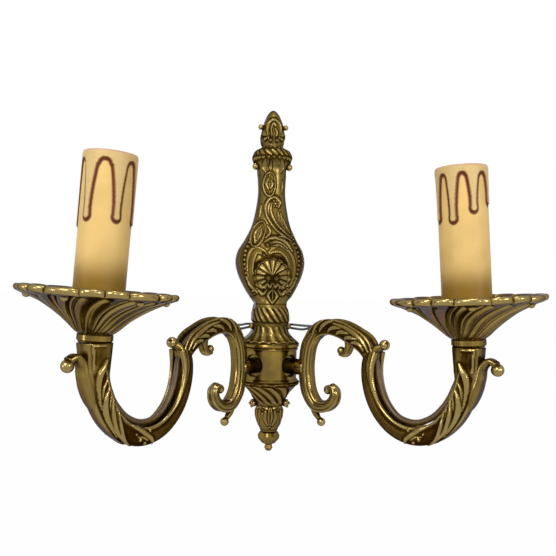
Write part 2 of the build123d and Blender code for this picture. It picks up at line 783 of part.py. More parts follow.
def hub_drum():
    """Turned drum with a top ring moulding and a niche for each arm's stub."""
    top, foot = SKIRT_FOOT, DRUM_FOOT
    outline = [
        (ROD_RADIUS + SLIP, top),
        (19.0, top),
        (19.4, top - 1.0),
        (19.0, top - 2.0),
        (18.2, top - 2.6),
        (18.9, top - 3.4),
        (18.2, top - 4.2),
        (DRUM_RADIUS, top - 4.8),
        (DRUM_RADIUS, foot + 1.6),
        (19.0, foot + 0.6),
        (19.0, foot),
        (DRUM_BORE, foot),
        (DRUM_BORE, top - DRUM_LID),
        (ROD_RADIUS + SLIP, top - DRUM_LID),
    ]
    drum = turned(outline)
    for side in (1, -1):
        out = (side * cos(radians(ARM_AZIMUTH)), -sin(radians(ARM_AZIMUTH)), 0)
        axis = Plane(origin=(0, 0, RIM_HEIGHT + STUB_HEIGHT), z_dir=out)
        drum -= axis.offset(NICHE_FLOOR) * rod(NICHE_RADIUS, 12.0)
        drum -= axis.offset(DRUM_BORE - 3.0) * rod(SEAT_RADIUS, WASHER_THICKNESS + 3.0)
        drum -= axis * rod(ARM_SCREW_RADIUS + SLIP, 30.0)
    return clip_at_wall(HUB_PLANE * drum)


def clip_at_wall(body):
    """Flatten a round piece where it meets the wall."""
    return body - Box(80, 20, 400, align=(Align.CENTER, Align.MIN, Align.CENTER))


def lobed_loft(rows, pattern):
    """Loft of lobed rings about the hub's axis through rows of radius and height."""
    count, depth, twist = pattern
    top, foot = rows[0][1], rows[-1][1]
    rings = []
    for radius, height in rows:
        turn = 360.0 / count * (0.25 + twist * (top - height) / (top - foot))
        share = 0.4 + 0.6 * radius / rows[0][0]
        rings.append(lobed_outline(radius, height, depth * share, turn, (360.0 / count,) * count))
    return loft(rings)


def lower_cone():
    """Hollow cast cone with twisted flutes, a waist, side knobs and a leaf bud."""
    fluted = [(20.0, DRUM_FOOT), (14.6, -90.0), (11.4, -95.0), (8.9, -99.5)]
    bud = [(8.6, -99.5), (10.2, -104.0), (9.8, -108.6), (7.4, -113.4), (5.8, CONE_FOOT)]
    cone = lobed_loft(fluted, CONE_FLUTES)
    cone += lobed_loft(bud, BUD_LEAVES)
    hollow = [
        (0, DRUM_FOOT),
        (17.4, DRUM_FOOT),
        (11.2, -90.6),
        (8.2, -95.6),
        (6.0, -99.5),
        (ROD_RADIUS + SLIP, -101.0),
        (ROD_RADIUS + SLIP, CONE_FOOT),
        (0, CONE_FOOT),
    ]
    cone -= turned(hollow)
    reach, height, radius = CONE_KNOB
    for side in (1, -1):
        cone += Pos(side * reach, 0, height) * Sphere(radius)
    return clip_at_wall(HUB_PLANE * cone)


def ball_finial():
    """Turned ball nut with a small ball tip."""
    outline = [
        (0, TIP_END),
        (1.6, TIP_END + 0.5),
        (2.8, TIP_END + 2.4),
        (2.2, TIP_END + 4.6),
        (4.6, TIP_END + 5.8),
        (7.0, TIP_END + 8.6),
        (7.4, TIP_END + 10.6),
        (6.4, TIP_END + 12.8),
        (5.0, CONE_FOOT),
        (0, CONE_FOOT),
    ]
    return HUB_PLANE * (turned(outline) - Pos(0, 0, CONE_FOOT) * Cylinder(ROD_RADIUS, 15.0))


def tie_rod():
    """Threaded rod through pillar foot, drum, cone and ball finial."""
    low, high = CONE_FOOT - 7.4, SKIRT_FOOT + ROD_DEPTH - 0.2
    return HUB_PLANE * Pos(0, 0, low) * rod(ROD_RADIUS - THREAD_FIT, high - low)


def hub_washer():
    """Flat washer under the hub's locknut."""
    top = SKIRT_FOOT - DRUM_LID
    return HUB_PLANE * tube_solid(6.4, ROD_RADIUS + SLIP, top - HUB_WASHER_THICKNESS, top)


def hub_locknut():
    """Hexagon nut that keeps the drum on the pillar."""
    top = SKIRT_FOOT - DRUM_LID - HUB_WASHER_THICKNESS
    nut = extrude(Plane.XY.offset(top - 4.0) * RegularPolygon(5.7, 6), 4.0)
    return HUB_PLANE * (nut - Pos(0, 0, top) * Cylinder(ROD_RADIUS, 20.0))


def arm_axis(side):
    """Plane on the hub's axis whose z points out along one arm's stub."""
    out = (side * cos(radians(ARM_AZIMUTH)), -sin(radians(ARM_AZIMUTH)), 0)
    return Plane(origin=(0, -HUB_DEPTH, RIM_HEIGHT + STUB_HEIGHT), z_dir=out)


def arm_screws():
    """Two screws that pull the arms' stubs against the drum from inside."""
    screws = []
    for side in (1, -1):
        head = arm_axis(side).offset(DRUM_BORE - 4.0) * rod(4.6, 4.0)
        length = ARM_SCREW_REACH - DRUM_BORE
        shank = arm_axis(side).offset(DRUM_BORE) * rod(ARM_SCREW_RADIUS - THREAD_FIT, length)
        screws.append(head + shank)
    return Compound(screws)


def arm_washers():
    """Two flat washers under the arm screws."""
    low, high = DRUM_BORE, DRUM_BORE + WASHER_THICKNESS
    ring = tube_solid(5.6, ARM_SCREW_RADIUS + SLIP, low, high)
    return Compound([arm_axis(side) * ring for side in (1, -1)])


def arm_flex():
    """Right flex, whole, from the lampholder along the gutter to the top of the hub limb."""
    points = flex_points()
    path = rounded_path(points, 60.0)
    bar = sweep(Plane(origin=path @ 0, z_dir=path % 0) * Circle(FLEX_RADIUS), path=path)
    wanted = pi * FLEX_RADIUS**2 * path.length
    print("flex length", round(path.length, 1), "volume share", round(bar.volume / wanted, 4))
    return ARM_PLANE.location * bar


def core_route(k):
    """Route of one of the right flex's two cores, from the arm's top to its terminal pole."""
    shift = 2.0 * k - 1.0
    lane = [FLEX_ROUTE[-1], CORE_LEAVE]
    route = [ARM_PLANE.from_local_coords(Vector(s, h, shift)) for s, h in lane]
    return [(p.X, p.Y, p.Z) for p in route] + CORE_ROUTES[k]


def lead_cores():
    """Right pair of thin cores from the end of the flex to the terminal block."""
    cores = []
    for k in (0, 1):
        path = rounded_path(core_route(k))
        start = Plane(origin=path @ 0, z_dir=path % 0)
        cores.append(sweep(start * Circle(CORE_RADIUS), path=path))
        print("core length", round(path.length, 1))
    return Compound(cores)


def write(name, shape):
    """Write one piece to its own file."""
    export_step(shape, "parts/" + name + ".step")


def mirrored(shape):
    """The same piece on the other side of the pillar."""
    return mirror(shape, about=Plane.YZ)


def main():
    os.makedirs("parts", exist_ok=True)
    centre = {
        "pillar_casting": pillar_casting,
        "hanging_strap": hanging_strap,
        "strap_screws": strap_screws,
        "terminal_block": terminal_block,
        "terminal_screws": terminal_screws,
        "terminal_fixing": terminal_fixing,
        "hub_drum": hub_drum,
        "hub_washer": hub_washer,
        "hub_locknut": hub_locknut,
        "arm_screws": arm_screws,
        "arm_washers": arm_washers,
        "lower_cone": lower_cone,
        "ball_finial": ball_finial,
        "tie_rod": tie_rod,
    }
    for name, build in centre.items():
        write(name, build())
    for name, shape in (
        ("arm", ARM_PLANE.location * arm()),
        ("arm_flex", arm_flex()),
        ("lead_cores", lead_cores()),
    ):
        write(name + "_right", shape)
        write(name + "_left", mirrored(shape))
    cup = {
        "drip_pan": drip_pan,
        "cup_collar": cup_collar,
        "cup_nipple": cup_nipple,
        "holder_bracket": holder_bracket,
        "holder_locknut": holder_locknut,
        "holder_body": holder_body,
        "thread_shell": thread_shell,
        "centre_contact": centre_contact,
    }
    for name, build in cup.items():
        shape = build()
        for side, word in ((1, "_right"), (-1, "_left")):
            write(name + word, candle_plane(side).location * shape)
    for side, word in ((1, "_right"), (-1, "_left")):
        write("candle_sleeve" + word, candle_plane(side).location * candle_sleeve(side))


main()
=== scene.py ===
"""Looks of a two-arm candelabra wall sconce in antique brass.

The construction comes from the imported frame. This file sculpts the relief of the castings,
dresses every piece, and sets up the studio and the camera.
Lengths are written in millimetres in the object's own frame and become metres in the meshes.
"""

import json
import logging
import math
from dataclasses import dataclass
from enum import Enum
from typing import Callable, Optional, Sequence

import bpy
import numpy as np
from mathutils import Matrix, Vector


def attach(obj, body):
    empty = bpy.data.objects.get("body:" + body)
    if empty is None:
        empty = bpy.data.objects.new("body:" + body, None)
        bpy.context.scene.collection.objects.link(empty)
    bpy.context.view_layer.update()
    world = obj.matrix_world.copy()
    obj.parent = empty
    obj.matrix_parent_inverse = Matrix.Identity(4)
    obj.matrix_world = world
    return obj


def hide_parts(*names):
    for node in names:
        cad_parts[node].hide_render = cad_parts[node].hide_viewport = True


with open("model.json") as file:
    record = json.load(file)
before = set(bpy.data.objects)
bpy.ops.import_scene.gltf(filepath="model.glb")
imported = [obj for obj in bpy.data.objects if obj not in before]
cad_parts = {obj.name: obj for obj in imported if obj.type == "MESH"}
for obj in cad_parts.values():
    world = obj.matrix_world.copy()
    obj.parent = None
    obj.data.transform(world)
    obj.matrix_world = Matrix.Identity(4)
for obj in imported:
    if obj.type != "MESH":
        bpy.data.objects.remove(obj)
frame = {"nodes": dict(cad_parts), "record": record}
LOG = logging.getLogger("sconce")
MM = 0.001

# Driving dimensions shared with the construction
HUB_DEPTH = 18.7
RIM_HEIGHT = -24.0
CANDLE_REACH = 98.6
CANDLE_LEAN = 3.5
ARM_SPREAD = 45.0

Array = np.ndarray
Rgb = tuple[float, float, float]


class Side(Enum):
    """The two mirrored halves of the sconce."""

    LEFT = -1
    RIGHT = 1

    @property
    def word(self) -> str:
        """Ending of the names of this side's pieces."""
        return self.name.lower()


class Profile(Enum):
    """Cross-sections that a modelled stroke can have."""

    ROUND = "round"
    RIDGE = "ridge"
    LEAF = "leaf"


# Curves and grids


def smooth_line(points: Sequence[Sequence[float]], step: float, dims: int = 2) -> Array:
    """Run a smooth curve through rows of values and sample it evenly.

    Args:
        points: rows whose first columns are a position and whose others ride along.
        step: spacing of the samples along the curve.
        dims: how many columns are the position.

    Returns:
        The sampled rows.
    """
    rows = np.asarray(points, float)
    chord = np.r_[0, np.cumsum(np.linalg.norm(np.diff(rows[:, :dims], axis=0), axis=1))]
    slope = np.gradient(rows, chord, axis=0) if len(rows) > 2 else np.diff(rows, axis=0) / chord[-1]
    slope = np.broadcast_to(slope, rows.shape)
    fine = np.linspace(0, chord[-1], max(8, int(4 * chord[-1] / step)))
    i = np.clip(np.searchsorted(chord, fine, "right") - 1, 0, len(rows) - 2)
    span = (chord[i + 1] - chord[i])[:, None]
    t = (fine - chord[i])[:, None] / span
    dense = (
        (2 * t**3 - 3 * t**2 + 1) * rows[i]
        + (t**3 - 2 * t**2 + t) * span * slope[i]
        + (3 * t**2 - 2 * t**3) * rows[i + 1]
        + (t**3 - t**2) * span * slope[i + 1]
    )
    run = np.r_[0, np.cumsum(np.linalg.norm(np.diff(dense[:, :dims], axis=0), axis=1))]
    even = np.linspace(0, run[-1], max(2, int(round(run[-1] / step)) + 1))
    return np.stack([np.interp(even, run, dense[:, k]) for k in range(rows.shape[1])], axis=1)


def grid_normals(points: Array, closed: bool) -> Array:
    """Unit normals of a grid of points, whose second axis may close on itself."""
    along = np.gradient(points, axis=0)
    if closed:
        across = np.roll(points, -1, axis=1) - np.roll(points, 1, axis=1)
    else:
        across = np.gradient(points, axis=1)
    normal = np.cross(along, across)
    return normal / np.maximum(np.linalg.norm(normal, axis=2, keepdims=True), 1e-9)


def box_blur(values: Array, reach: int, closed: bool) -> Array:
    """Mean over a square window of a grid, repeated twice for a soft fall-off."""
    out = values
    for _ in range(2):
        for axis in (0, 1):
            mode = "wrap" if axis == 1 and closed else "edge"
            pad = [(0, 0)] * out.ndim
            pad[axis] = (reach, reach)
            padded = np.pad(out, pad, mode=mode)
            total = np.cumsum(padded, axis=axis)
            total = np.insert(total, 0, 0, axis=axis)
            high = np.take(total, range(2 * reach + 1, total.shape[axis]), axis=axis)
            low = np.take(total, range(0, total.shape[axis] - 2 * reach - 1), axis=axis)
            out = (high - low) / (2 * reach + 1)
    return out


def wear_marks(points: Array, normals: Array, closed: bool) -> tuple[Array, Array]:
    """Find where a surface is hollow and where it is proud.

    Args:
        points: grid of points in millimetres.
        normals: their outward normals.
        closed: whether the grid closes across.

    Returns:
        Two grids from 0 to 1: hollows that keep the dark patina, and ridges that rub bright and take a
            painted highlight.
    """
    reaches = (2, 5, 11)
    depth = []
    for reach in reaches:
        shift = box_blur(points, reach, closed) - points
        depth.append((shift * normals).sum(axis=2))
    fine = depth[0] - depth[1] * (reaches[0] / reaches[1]) ** 2
    broad = depth[1] - depth[2] * (reaches[1] / reaches[2]) ** 2
    full_fine, full_broad = 0.10, 0.42
    level = fine / full_fine + broad / full_broad
    return np.clip(level, 0, 1), np.clip(-level, 0, 1)


class Relief:
    """Height map in millimetres that strokes, beads and leaves are modelled on."""

    def __init__(self, x: Array, y: Array) -> None:
        """Start flat on a grid of positions."""
        self.x = x
        self.y = y
        self.height = np.zeros_like(x)
        self.ground = np.zeros_like(x)
        self.stain_and_shade = np.zeros_like(x)

    def near(self, path: Array, margin: float) -> tuple:
        """Index of the part of the grid that lies round a path."""
        low = path[:, :2].min(axis=0) - margin
        high = path[:, :2].max(axis=0) + margin
        inside = (self.x > low[0]) & (self.x < high[0]) & (self.y > low[1]) & (self.y < high[1])
        return np.nonzero(inside)

    def stroke(
        self,
        points: Sequence[Sequence[float]],
        height: float,
        profile: Profile = Profile.ROUND,
        add: bool = False,
    ) -> None:
        """Lay a tapering stroke along a path.

        Args:
            points: rows of x, y and half width.
            height: how proud the stroke's middle stands; negative cuts a groove.
            profile: the stroke's cross-section.
            add: add to what is there, instead of standing beside it.
        """
        path = smooth_line(points, 0.35)
        where = self.near(path, float(path[:, 2].max()) + 0.6)
        if not len(where[0]):
            return
        gx, gy = self.x[where], self.y[where]
        best = np.full(len(gx), 1e9)
        width = np.full(len(gx), 1.0)
        for x, y, half in path:
            distance = np.hypot(gx - x, gy - y) / max(half, 0.05)
            closer = distance < best
            best[closer] = distance[closer]
            width[closer] = half
        q = np.clip(best, 0, 1)
        if profile is Profile.ROUND:
            form = np.sqrt(1 - q**2)
        elif profile is Profile.RIDGE:
            form = 1 - q
        else:
            form = np.clip(1.25 * np.sqrt(1 - q**2) - 0.55 * np.exp(-((q / 0.28) ** 2)), 0, 1)
        size = np.clip(width / float(path[:, 2].max()), 0, 1) ** 0.5
        form = form * size * height
        if add or height < 0:
            self.height[where] += form
        else:
            self.height[where] = np.maximum(self.height[where], form)

    def sided(self, side: int, rows: Sequence[Sequence[float]], height: float) -> None:
        """Lay a stroke written for the right side, mirrored where the side is -1."""
        self.stroke([(side * x, y, half) for x, y, half in rows], height)

    def bead(self, x: float, y: float, radius: float, height: float) -> None:
        """Set a half-round bead on the surface."""
        q = np.hypot(self.x - x, self.y - y) / radius
        form = np.sqrt(np.clip(1 - q**2, 0, 1)) * height
        self.height = np.maximum(self.height, form)


class Shape:
    """Grids and balls of one piece, gathered before they become one mesh."""

    def __init__(self) -> None:
        """Start empty."""
        self.points: list[Array] = []
        self.faces: list[tuple[int, ...]] = []
        self.hollow: list[Array] = []
        self.ridge: list[Array] = []
        self.ground: list[Array] = []
        self.count = 0

    def add_grid(
        self,
        points: Array,
        closed: bool = False,
        caps: tuple[bool, bool] = (False, False),
        relief: Optional[Array] = None,
        ground: Optional[Array] = None,
        stain_and_shade: Optional[Array] = None,
        keep: Optional[Array] = None,
        flip: bool = False,
        polish_and_highlight: float = 0.0,
    ) -> None:
        """Add a grid of points as faces, displaced by a relief.

        Args:
            points: rows of points in millimetres.
            closed: whether the last column joins the first.
            caps: whether the first and the last row are closed with a fan.
            relief: height over the grid, along its outward normals.
            ground: mask of stippled ground.
            stain_and_shade: patina and painted shade added to what the hollows hold; negative keeps the
                metal bare.
            keep: mask of the points whose faces are kept.
            flip: whether the grid's own normals point inwards.
            polish_and_highlight: brightness added all over, a painted highlight.
        """
        sign = -1.0 if flip else 1.0
        normals = grid_normals(points, closed) * sign
        if relief is not None:
            points = points + normals * relief[..., None]
            normals = grid_normals(points, closed) * sign
        hollow, ridge = wear_marks(points, normals, closed)
        rows, columns = points.shape[:2]
        index = self.count + np.arange(rows * columns).reshape(rows, columns)
        after = np.roll(index, -1, axis=1) if closed else index[:, 1:]
        here = index if closed else index[:, :-1]
        quads = np.stack([here[:-1], here[1:], after[1:], after[:-1]], axis=-1).reshape(-1, 4)
        if flip:
            quads = quads[:, ::-1]
        if keep is not None:
            quads = quads[keep.ravel()[quads - self.count].all(axis=1)]
        self.faces += [tuple(q) for q in quads.tolist()]
        self.points.append(points.reshape(-1, 3))
        self.hollow.append(np.clip(hollow + (0 if stain_and_shade is None else stain_and_shade), 0, 1).ravel())
        self.ridge.append(np.clip(ridge + polish_and_highlight, 0, 1).ravel())
        self.ground.append((np.zeros((rows, columns)) if ground is None else ground).ravel())
        self.count += rows * columns
        for wanted, row, turn in ((caps[0], 0, flip), (caps[1], rows - 1, not flip)):
            if wanted:
                self.add_fan(index[row], points[row].mean(axis=0), turn)

    def add_fan(self, ring: Array, centre: Array, turn: bool) -> None:
        """Close a ring of points with a fan of triangles."""
        self.points.append(centre[None])
        for marks in (self.hollow, self.ridge, self.ground):
            marks.append(np.zeros(1))
        hub = self.count
        self.count += 1
        for a, b in zip(ring.tolist(), np.roll(ring, -1).tolist()):
            self.faces.append((hub, b, a) if turn else (hub, a, b))

    def add_faces(self, points: Array, faces: Sequence[Sequence[int]]) -> None:
        """Add plain faces that bring their own points."""
        self.points.append(points)
        for marks in (self.hollow, self.ridge, self.ground):
            marks.append(np.zeros(len(points)))
        self.faces += [tuple(self.count + i for i in face) for face in faces]
        self.count += len(points)

    def add_ball(self, centre: Sequence[float], radius: float) -> None:
        """Add a polished ball."""
        around, up = 40, 22
        phi = np.linspace(0.06, math.pi - 0.06, up)[:, None]
        theta = np.linspace(0, 2 * math.pi, around, endpoint=False)[None]
        ring = np.stack(
            [
                np.sin(phi) * np.cos(theta),
                np.sin(phi) * np.sin(theta),
                np.cos(phi) * np.ones_like(theta),
            ],
            axis=-1,
        )
        self.add_grid(np.asarray(centre) + radius * ring, closed=True, caps=(True, True))

    def moved(self, move: Callable[[Array], Array], mirrored: bool = False) -> "Shape":
        """Copy of the shape with its points moved, and its faces turned if mirrored."""
        copy = Shape()
        copy.points = [move(p) for p in self.points]
        copy.faces = [f[::-1] for f in self.faces] if mirrored else list(self.faces)
        copy.hollow, copy.ridge, copy.ground = self.hollow, self.ridge, self.ground
        copy.count = self.count
        return copy

    def build(self, name: str) -> bpy.types.Object:
        """Make the mesh object, with its wear marks as attributes."""
        mesh = bpy.data.meshes.new(name)
        mesh.from_pydata((np.concatenate(self.points) * MM).tolist(), [], self.faces)
        mesh.shade_smooth()
        for label, marks in (("hollow", self.hollow), ("ridge", self.ridge), ("ground", self.ground)):
            layer = mesh.attributes.new(label, "FLOAT", "POINT")
            layer.data.foreach_set("value", np.concatenate(marks).astype(np.float32))
        thing = bpy.data.objects.new(name, mesh)
        bpy.context.scene.collection.objects.link(thing)
        return thing


def turned_grid(profile: Sequence[Sequence[float]], step: float, around: int) -> Array:
    """Grid of a turned form from rows of radius and height, finest at the profile's step."""
    line = smooth_line(profile, step)
    theta = np.linspace(0, 2 * math.pi, around, endpoint=False)
    radius = line[:, 0][:, None]
    height = line[:, 1][:, None] * np.ones_like(theta)
    return np.stack([radius * np.sin(theta), -radius * np.cos(theta), height], axis=-1)


# Placing pieces in the frame


def candle_matrix(side: Side) -> Matrix:
    """Place of a pan's rim centre on its leaning candle axis, in millimetres."""
    lean = side.value * math.radians(-CANDLE_LEAN)
    place = Matrix.Translation((side.value * CANDLE_REACH, -HUB_DEPTH - CANDLE_REACH, RIM_HEIGHT))
    return place @ Matrix.Rotation(lean, 4, "Y")


def by_matrix(matrix: Matrix) -> Callable[[Array], Array]:
    """Function that moves points by a matrix."""
    turn = np.array(matrix.to_3x3())
    shift = np.array(matrix.translation)
    return lambda points: points @ turn.T + shift


def arm_to_world(side: Side) -> Callable[[Array], Array]:
    """Function that moves points of distance, height and offset towards the viewer into place."""
    c = math.cos(math.radians(ARM_SPREAD))

    def move(points: Array) -> Array:
        """Turn positions in the arm's plane into places in the object's frame."""
        s, h, n = points[..., 0], points[..., 1], points[..., 2]
        x = side.value * c * (s - n)
        return np.stack([x, -HUB_DEPTH - c * (s + n), h + RIM_HEIGHT], axis=-1)

    return move


# Node groups and finishes


class NodeTree:
    """Short way to write nodes and links in one tree."""

    def __init__(self, tree: bpy.types.NodeTree) -> None:
        """Hold the tree that is written to."""
        self.tree = tree

    def node(self, kind: str, **settings: object) -> bpy.types.Node:
        """Add a node and set its properties."""
        made = self.tree.nodes.new(kind)
        for name, value in settings.items():
            setattr(made, name, value)
        return made

    def link(self, source: bpy.types.NodeSocket, target: bpy.types.NodeSocket) -> None:
        """Join two sockets."""
        self.tree.links.new(source, target)

    def noise(self, place: bpy.types.NodeSocket, scale: float, detail: float = 3.0) -> bpy.types.NodeSocket:
        """Noise texture read at a place."""
        made = self.node("ShaderNodeTexNoise")
        made.inputs["Scale"].default_value = scale
        made.inputs["Detail"].default_value = detail
        self.link(place, made.inputs["Vector"])
        return made.outputs["Fac"]

    def math(self, kind: str, a: object, b: object = 0.0, clamp: bool = False) -> bpy.types.NodeSocket:
        """Math node on sockets or numbers."""
        made = self.node("ShaderNodeMath", operation=kind, use_clamp=clamp)
        for socket, value in zip(made.inputs, (a, b)):
            if isinstance(value, bpy.types.NodeSocket):
                self.link(value, socket)
            else:
                socket.default_value = value
        return made.outputs[0]

    def span(
        self,
        value: bpy.types.NodeSocket,
        low: float,
        high: float,
        to: tuple[float, float] = (0.0, 1.0),
    ) -> bpy.types.NodeSocket:
        """Map a range of a value onto another, softly."""
        made = self.node("ShaderNodeMapRange", interpolation_type="SMOOTHSTEP")
        self.link(value, made.inputs["Value"])
        made.inputs["From Min"].default_value = low
        made.inputs["From Max"].default_value = high
        made.inputs["To Min"].default_value = to[0]
        made.inputs["To Max"].default_value = to[1]
        return made.outputs["Result"]

    def mix(self, factor: object, a: object, b: object) -> bpy.types.NodeSocket:
        """Blend two colours."""
        made = self.node("ShaderNodeMix", data_type="RGBA")
        colours = [s for s in made.inputs if s.type == "RGBA"]
        for socket, value in zip([made.inputs["Factor"], *colours], (factor, a, b)):
            if isinstance(value, bpy.types.NodeSocket):
                self.link(value, socket)
            elif isinstance(value, tuple):
                socket.default_value = (*value, 1.0)
            else:
                socket.default_value = value
        return next(s for s in made.outputs if s.type == "RGBA")


# Grain of the patina, in waves per metre, and how near a neighbour shelters a surface for the painted
# shade, in metres
BROAD_GRAIN = 45.0
FINE_GRAIN = 420.0
SHELTER = 0.004


def patina_and_shade_group() -> bpy.types.NodeTree:
    """Group that turns wear marks and occlusion into two masks: dark patina with painted shade in sheltered
    corners, and rubbed metal with a painted highlight.

    Returns:
        The node group, with inputs for the dirt and shade, the rub and highlight, and the scale, and
        outputs Dark, Bright, Ground, Tint.
    """
    group = bpy.data.node_groups.new("age_and_shade_masks", "ShaderNodeTree")
    for name, value in (("Dirt", 1.0), ("Rub", 1.0), ("Scale", 1.0)):
        socket = group.interface.new_socket(name, in_out="INPUT", socket_type="NodeSocketFloat")
        socket.default_value = value
    for name in ("Dark", "Bright", "Ground", "Tint"):
        group.interface.new_socket(name, in_out="OUTPUT", socket_type="NodeSocketFloat")
    nodes = NodeTree(group)
    given = nodes.node("NodeGroupInput")
    result = nodes.node("NodeGroupOutput")
    marks = {}
    for label in ("hollow", "ridge", "ground"):
        marks[label] = nodes.node("ShaderNodeAttribute", attribute_name=label).outputs["Fac"]
    place = nodes.node("ShaderNodeTexCoord").outputs["Object"]
    scaled = nodes.node("ShaderNodeVectorMath", operation="SCALE")
    nodes.link(place, scaled.inputs[0])
    nodes.link(given.outputs["Scale"], scaled.inputs["Scale"])
    broad = nodes.noise(scaled.outputs[0], BROAD_GRAIN, 4.0)
    fine = nodes.noise(scaled.outputs[0], FINE_GRAIN, 3.0)
    # Ambient occlusion darkens sheltered corners and creases: painted shade
    sheltered = nodes.node("ShaderNodeAmbientOcclusion", samples=8, only_local=False)
    sheltered.inputs["Distance"].default_value = SHELTER
    shut = nodes.span(sheltered.outputs["AO"], 0.35, 0.95, (1.0, 0.0))
    uneven = nodes.span(broad, 0.3, 0.7, (0.75, 1.15))
    grain = nodes.span(fine, 0.3, 0.7, (0.85, 1.1))
    # The dark mask is patina in the hollows together with the painted shade of the occlusion
    dark = nodes.math("MAXIMUM", marks["hollow"], nodes.math("MULTIPLY", shut, 0.6))
    dark = nodes.math("MULTIPLY", dark, uneven)
    dark = nodes.math("MULTIPLY", dark, grain)
    dark = nodes.math("MULTIPLY", dark, given.outputs["Dirt"], clamp=True)
    # The bright mask is rubbed wear on the ridges and also a painted highlight
    bright = nodes.math("MULTIPLY", marks["ridge"], uneven)
    bright = nodes.math("MULTIPLY", bright, given.outputs["Rub"], clamp=True)
    nodes.link(dark, result.inputs["Dark"])
    nodes.link(bright, result.inputs["Bright"])
    nodes.link(marks["ground"], result.inputs["Ground"])
    nodes.link(broad, result.inputs["Tint"])
    return group


@dataclass(frozen=True)
class BrassFinish:
    """Antique brass: gold metal, brown patina in the hollows with painted shade in sheltered corners, and
    rubbed ridges with a painted highlight.
    """

    name: str
    metal: Rgb = (0.165, 0.104, 0.018)
    tint: Rgb = (0.125, 0.080, 0.013)
    # Brown of the patina, also used as painted shade in sheltered corners and inside the gutter
    patina_and_shade: Rgb = (0.024, 0.010, 0.001)
    # Pale colour of rubbed ridges, also laid on as a painted highlight
    polish_and_highlight: Rgb = (0.36, 0.27, 0.10)
    stipple: Rgb = (0.070, 0.034, 0.005)
    edge: Rgb = (0.12, 0.075, 0.025)
    coat: float = 0.32
    coat_roughness: float = 0.12
    dirt: float = 1.0
    rub: float = 0.6
    roughness: float = 0.17
    # Texture sizes in waves per metre, and the depth of the bump in metres
    grain_scale: float = 900.0
    swell_scale: float = 260.0
    pit_scale: float = 1300.0
    bump: float = 0.5
    bump_depth: float = 0.00025

    def material(self, masks: bpy.types.NodeTree) -> bpy.types.Material:
        """Build the material from the shared masks."""
        made = bpy.data.materials.new(self.name)
        made.use_nodes = True
        nodes = NodeTree(made.node_tree)
        shader = made.node_tree.nodes["Principled BSDF"]
        age_and_light = nodes.node("ShaderNodeGroup", node_tree=masks)
        age_and_light.inputs["Dirt"].default_value = self.dirt
        age_and_light.inputs["Rub"].default_value = self.rub
        toned = nodes.mix(nodes.span(age_and_light.outputs["Tint"], 0.35, 0.65), self.metal, self.tint)
        # Rubbed ridges with painted highlight, then the stippled ground, then patina with painted shade
        rubbed_and_highlit = nodes.mix(age_and_light.outputs["Bright"], toned, self.polish_and_highlight)
        pitted = nodes.mix(age_and_light.outputs["Ground"], rubbed_and_highlit, self.stipple)
        aged_and_shaded = nodes.mix(age_and_light.outputs["Dark"], pitted, self.patina_and_shade)
        nodes.link(aged_and_shaded, shader.inputs["Base Color"])
        shader.inputs["Metallic"].default_value = 1.0
        shader.inputs["Specular Tint"].default_value = (*self.edge, 1)
        lacquer = nodes.span(age_and_light.outputs["Dark"], 0.05, 0.5, (self.coat, 0.0))
        nodes.link(lacquer, shader.inputs["Coat Weight"])
        shader.inputs["Coat Roughness"].default_value = self.coat_roughness
        place = nodes.node("ShaderNodeTexCoord").outputs["Object"]
        grain = nodes.noise(place, self.grain_scale, 2.0)
        rough = nodes.math("MULTIPLY", age_and_light.outputs["Dark"], 0.45)
        rough = nodes.math("ADD", rough, self.roughness)
        rough = nodes.math("ADD", rough, nodes.math("MULTIPLY", grain, 0.10))
        nodes.link(rough, shader.inputs["Roughness"])
        swell = nodes.noise(place, self.swell_scale, 3.0)
        pits = nodes.node("ShaderNodeTexVoronoi", feature="F1")
        pits.inputs["Scale"].default_value = self.pit_scale
        nodes.link(place, pits.inputs["Vector"])
        dots = nodes.math("MULTIPLY", pits.outputs["Distance"], age_and_light.outputs["Ground"])
        height = nodes.math("ADD", nodes.math("MULTIPLY", swell, 0.2), dots)
        bump = nodes.node("ShaderNodeBump")
        bump.inputs["Strength"].default_value = self.bump
        bump.inputs["Distance"].default_value = self.bump_depth
        nodes.link(height, bump.inputs["Height"])
        nodes.link(bump.outputs["Normal"], shader.inputs["Normal"])
        return made


@dataclass(frozen=True)
class PlainFinish:
    """A plain made surface with gentle unevenness: plastic, plated steel or lead sheath."""

    name: str
    colour: Rgb
    shade: Rgb
    roughness: float = 0.45
    metallic: float = 0.0
    scale: float = 120.0
    fine_ratio: float = 9.0
    bump: float = 0.15
    bump_depth: float = 0.0002

    def material(self) -> bpy.types.Material:
        """Build the material."""
        made = bpy.data.materials.new(self.name)
        made.use_nodes = True
        nodes = NodeTree(made.node_tree)
        shader = made.node_tree.nodes["Principled BSDF"]
        place = nodes.node("ShaderNodeTexCoord").outputs["Object"]
        broad = nodes.noise(place, self.scale, 4.0)
        fine = nodes.noise(place, self.scale * self.fine_ratio, 2.0)
        toned = nodes.mix(nodes.span(broad, 0.35, 0.65), self.colour, self.shade)
        nodes.link(toned, shader.inputs["Base Color"])
        rough = nodes.math("ADD", nodes.math("MULTIPLY", fine, 0.15), self.roughness)
        nodes.link(rough, shader.inputs["Roughness"])
        shader.inputs["Metallic"].default_value = self.metallic
        bump = nodes.node("ShaderNodeBump")
        bump.inputs["Strength"].default_value = self.bump
        bump.inputs["Distance"].default_value = self.bump_depth
        nodes.link(fine, bump.inputs["Height"])
        nodes.link(bump.outputs["Normal"], shader.inputs["Normal"])
        return made


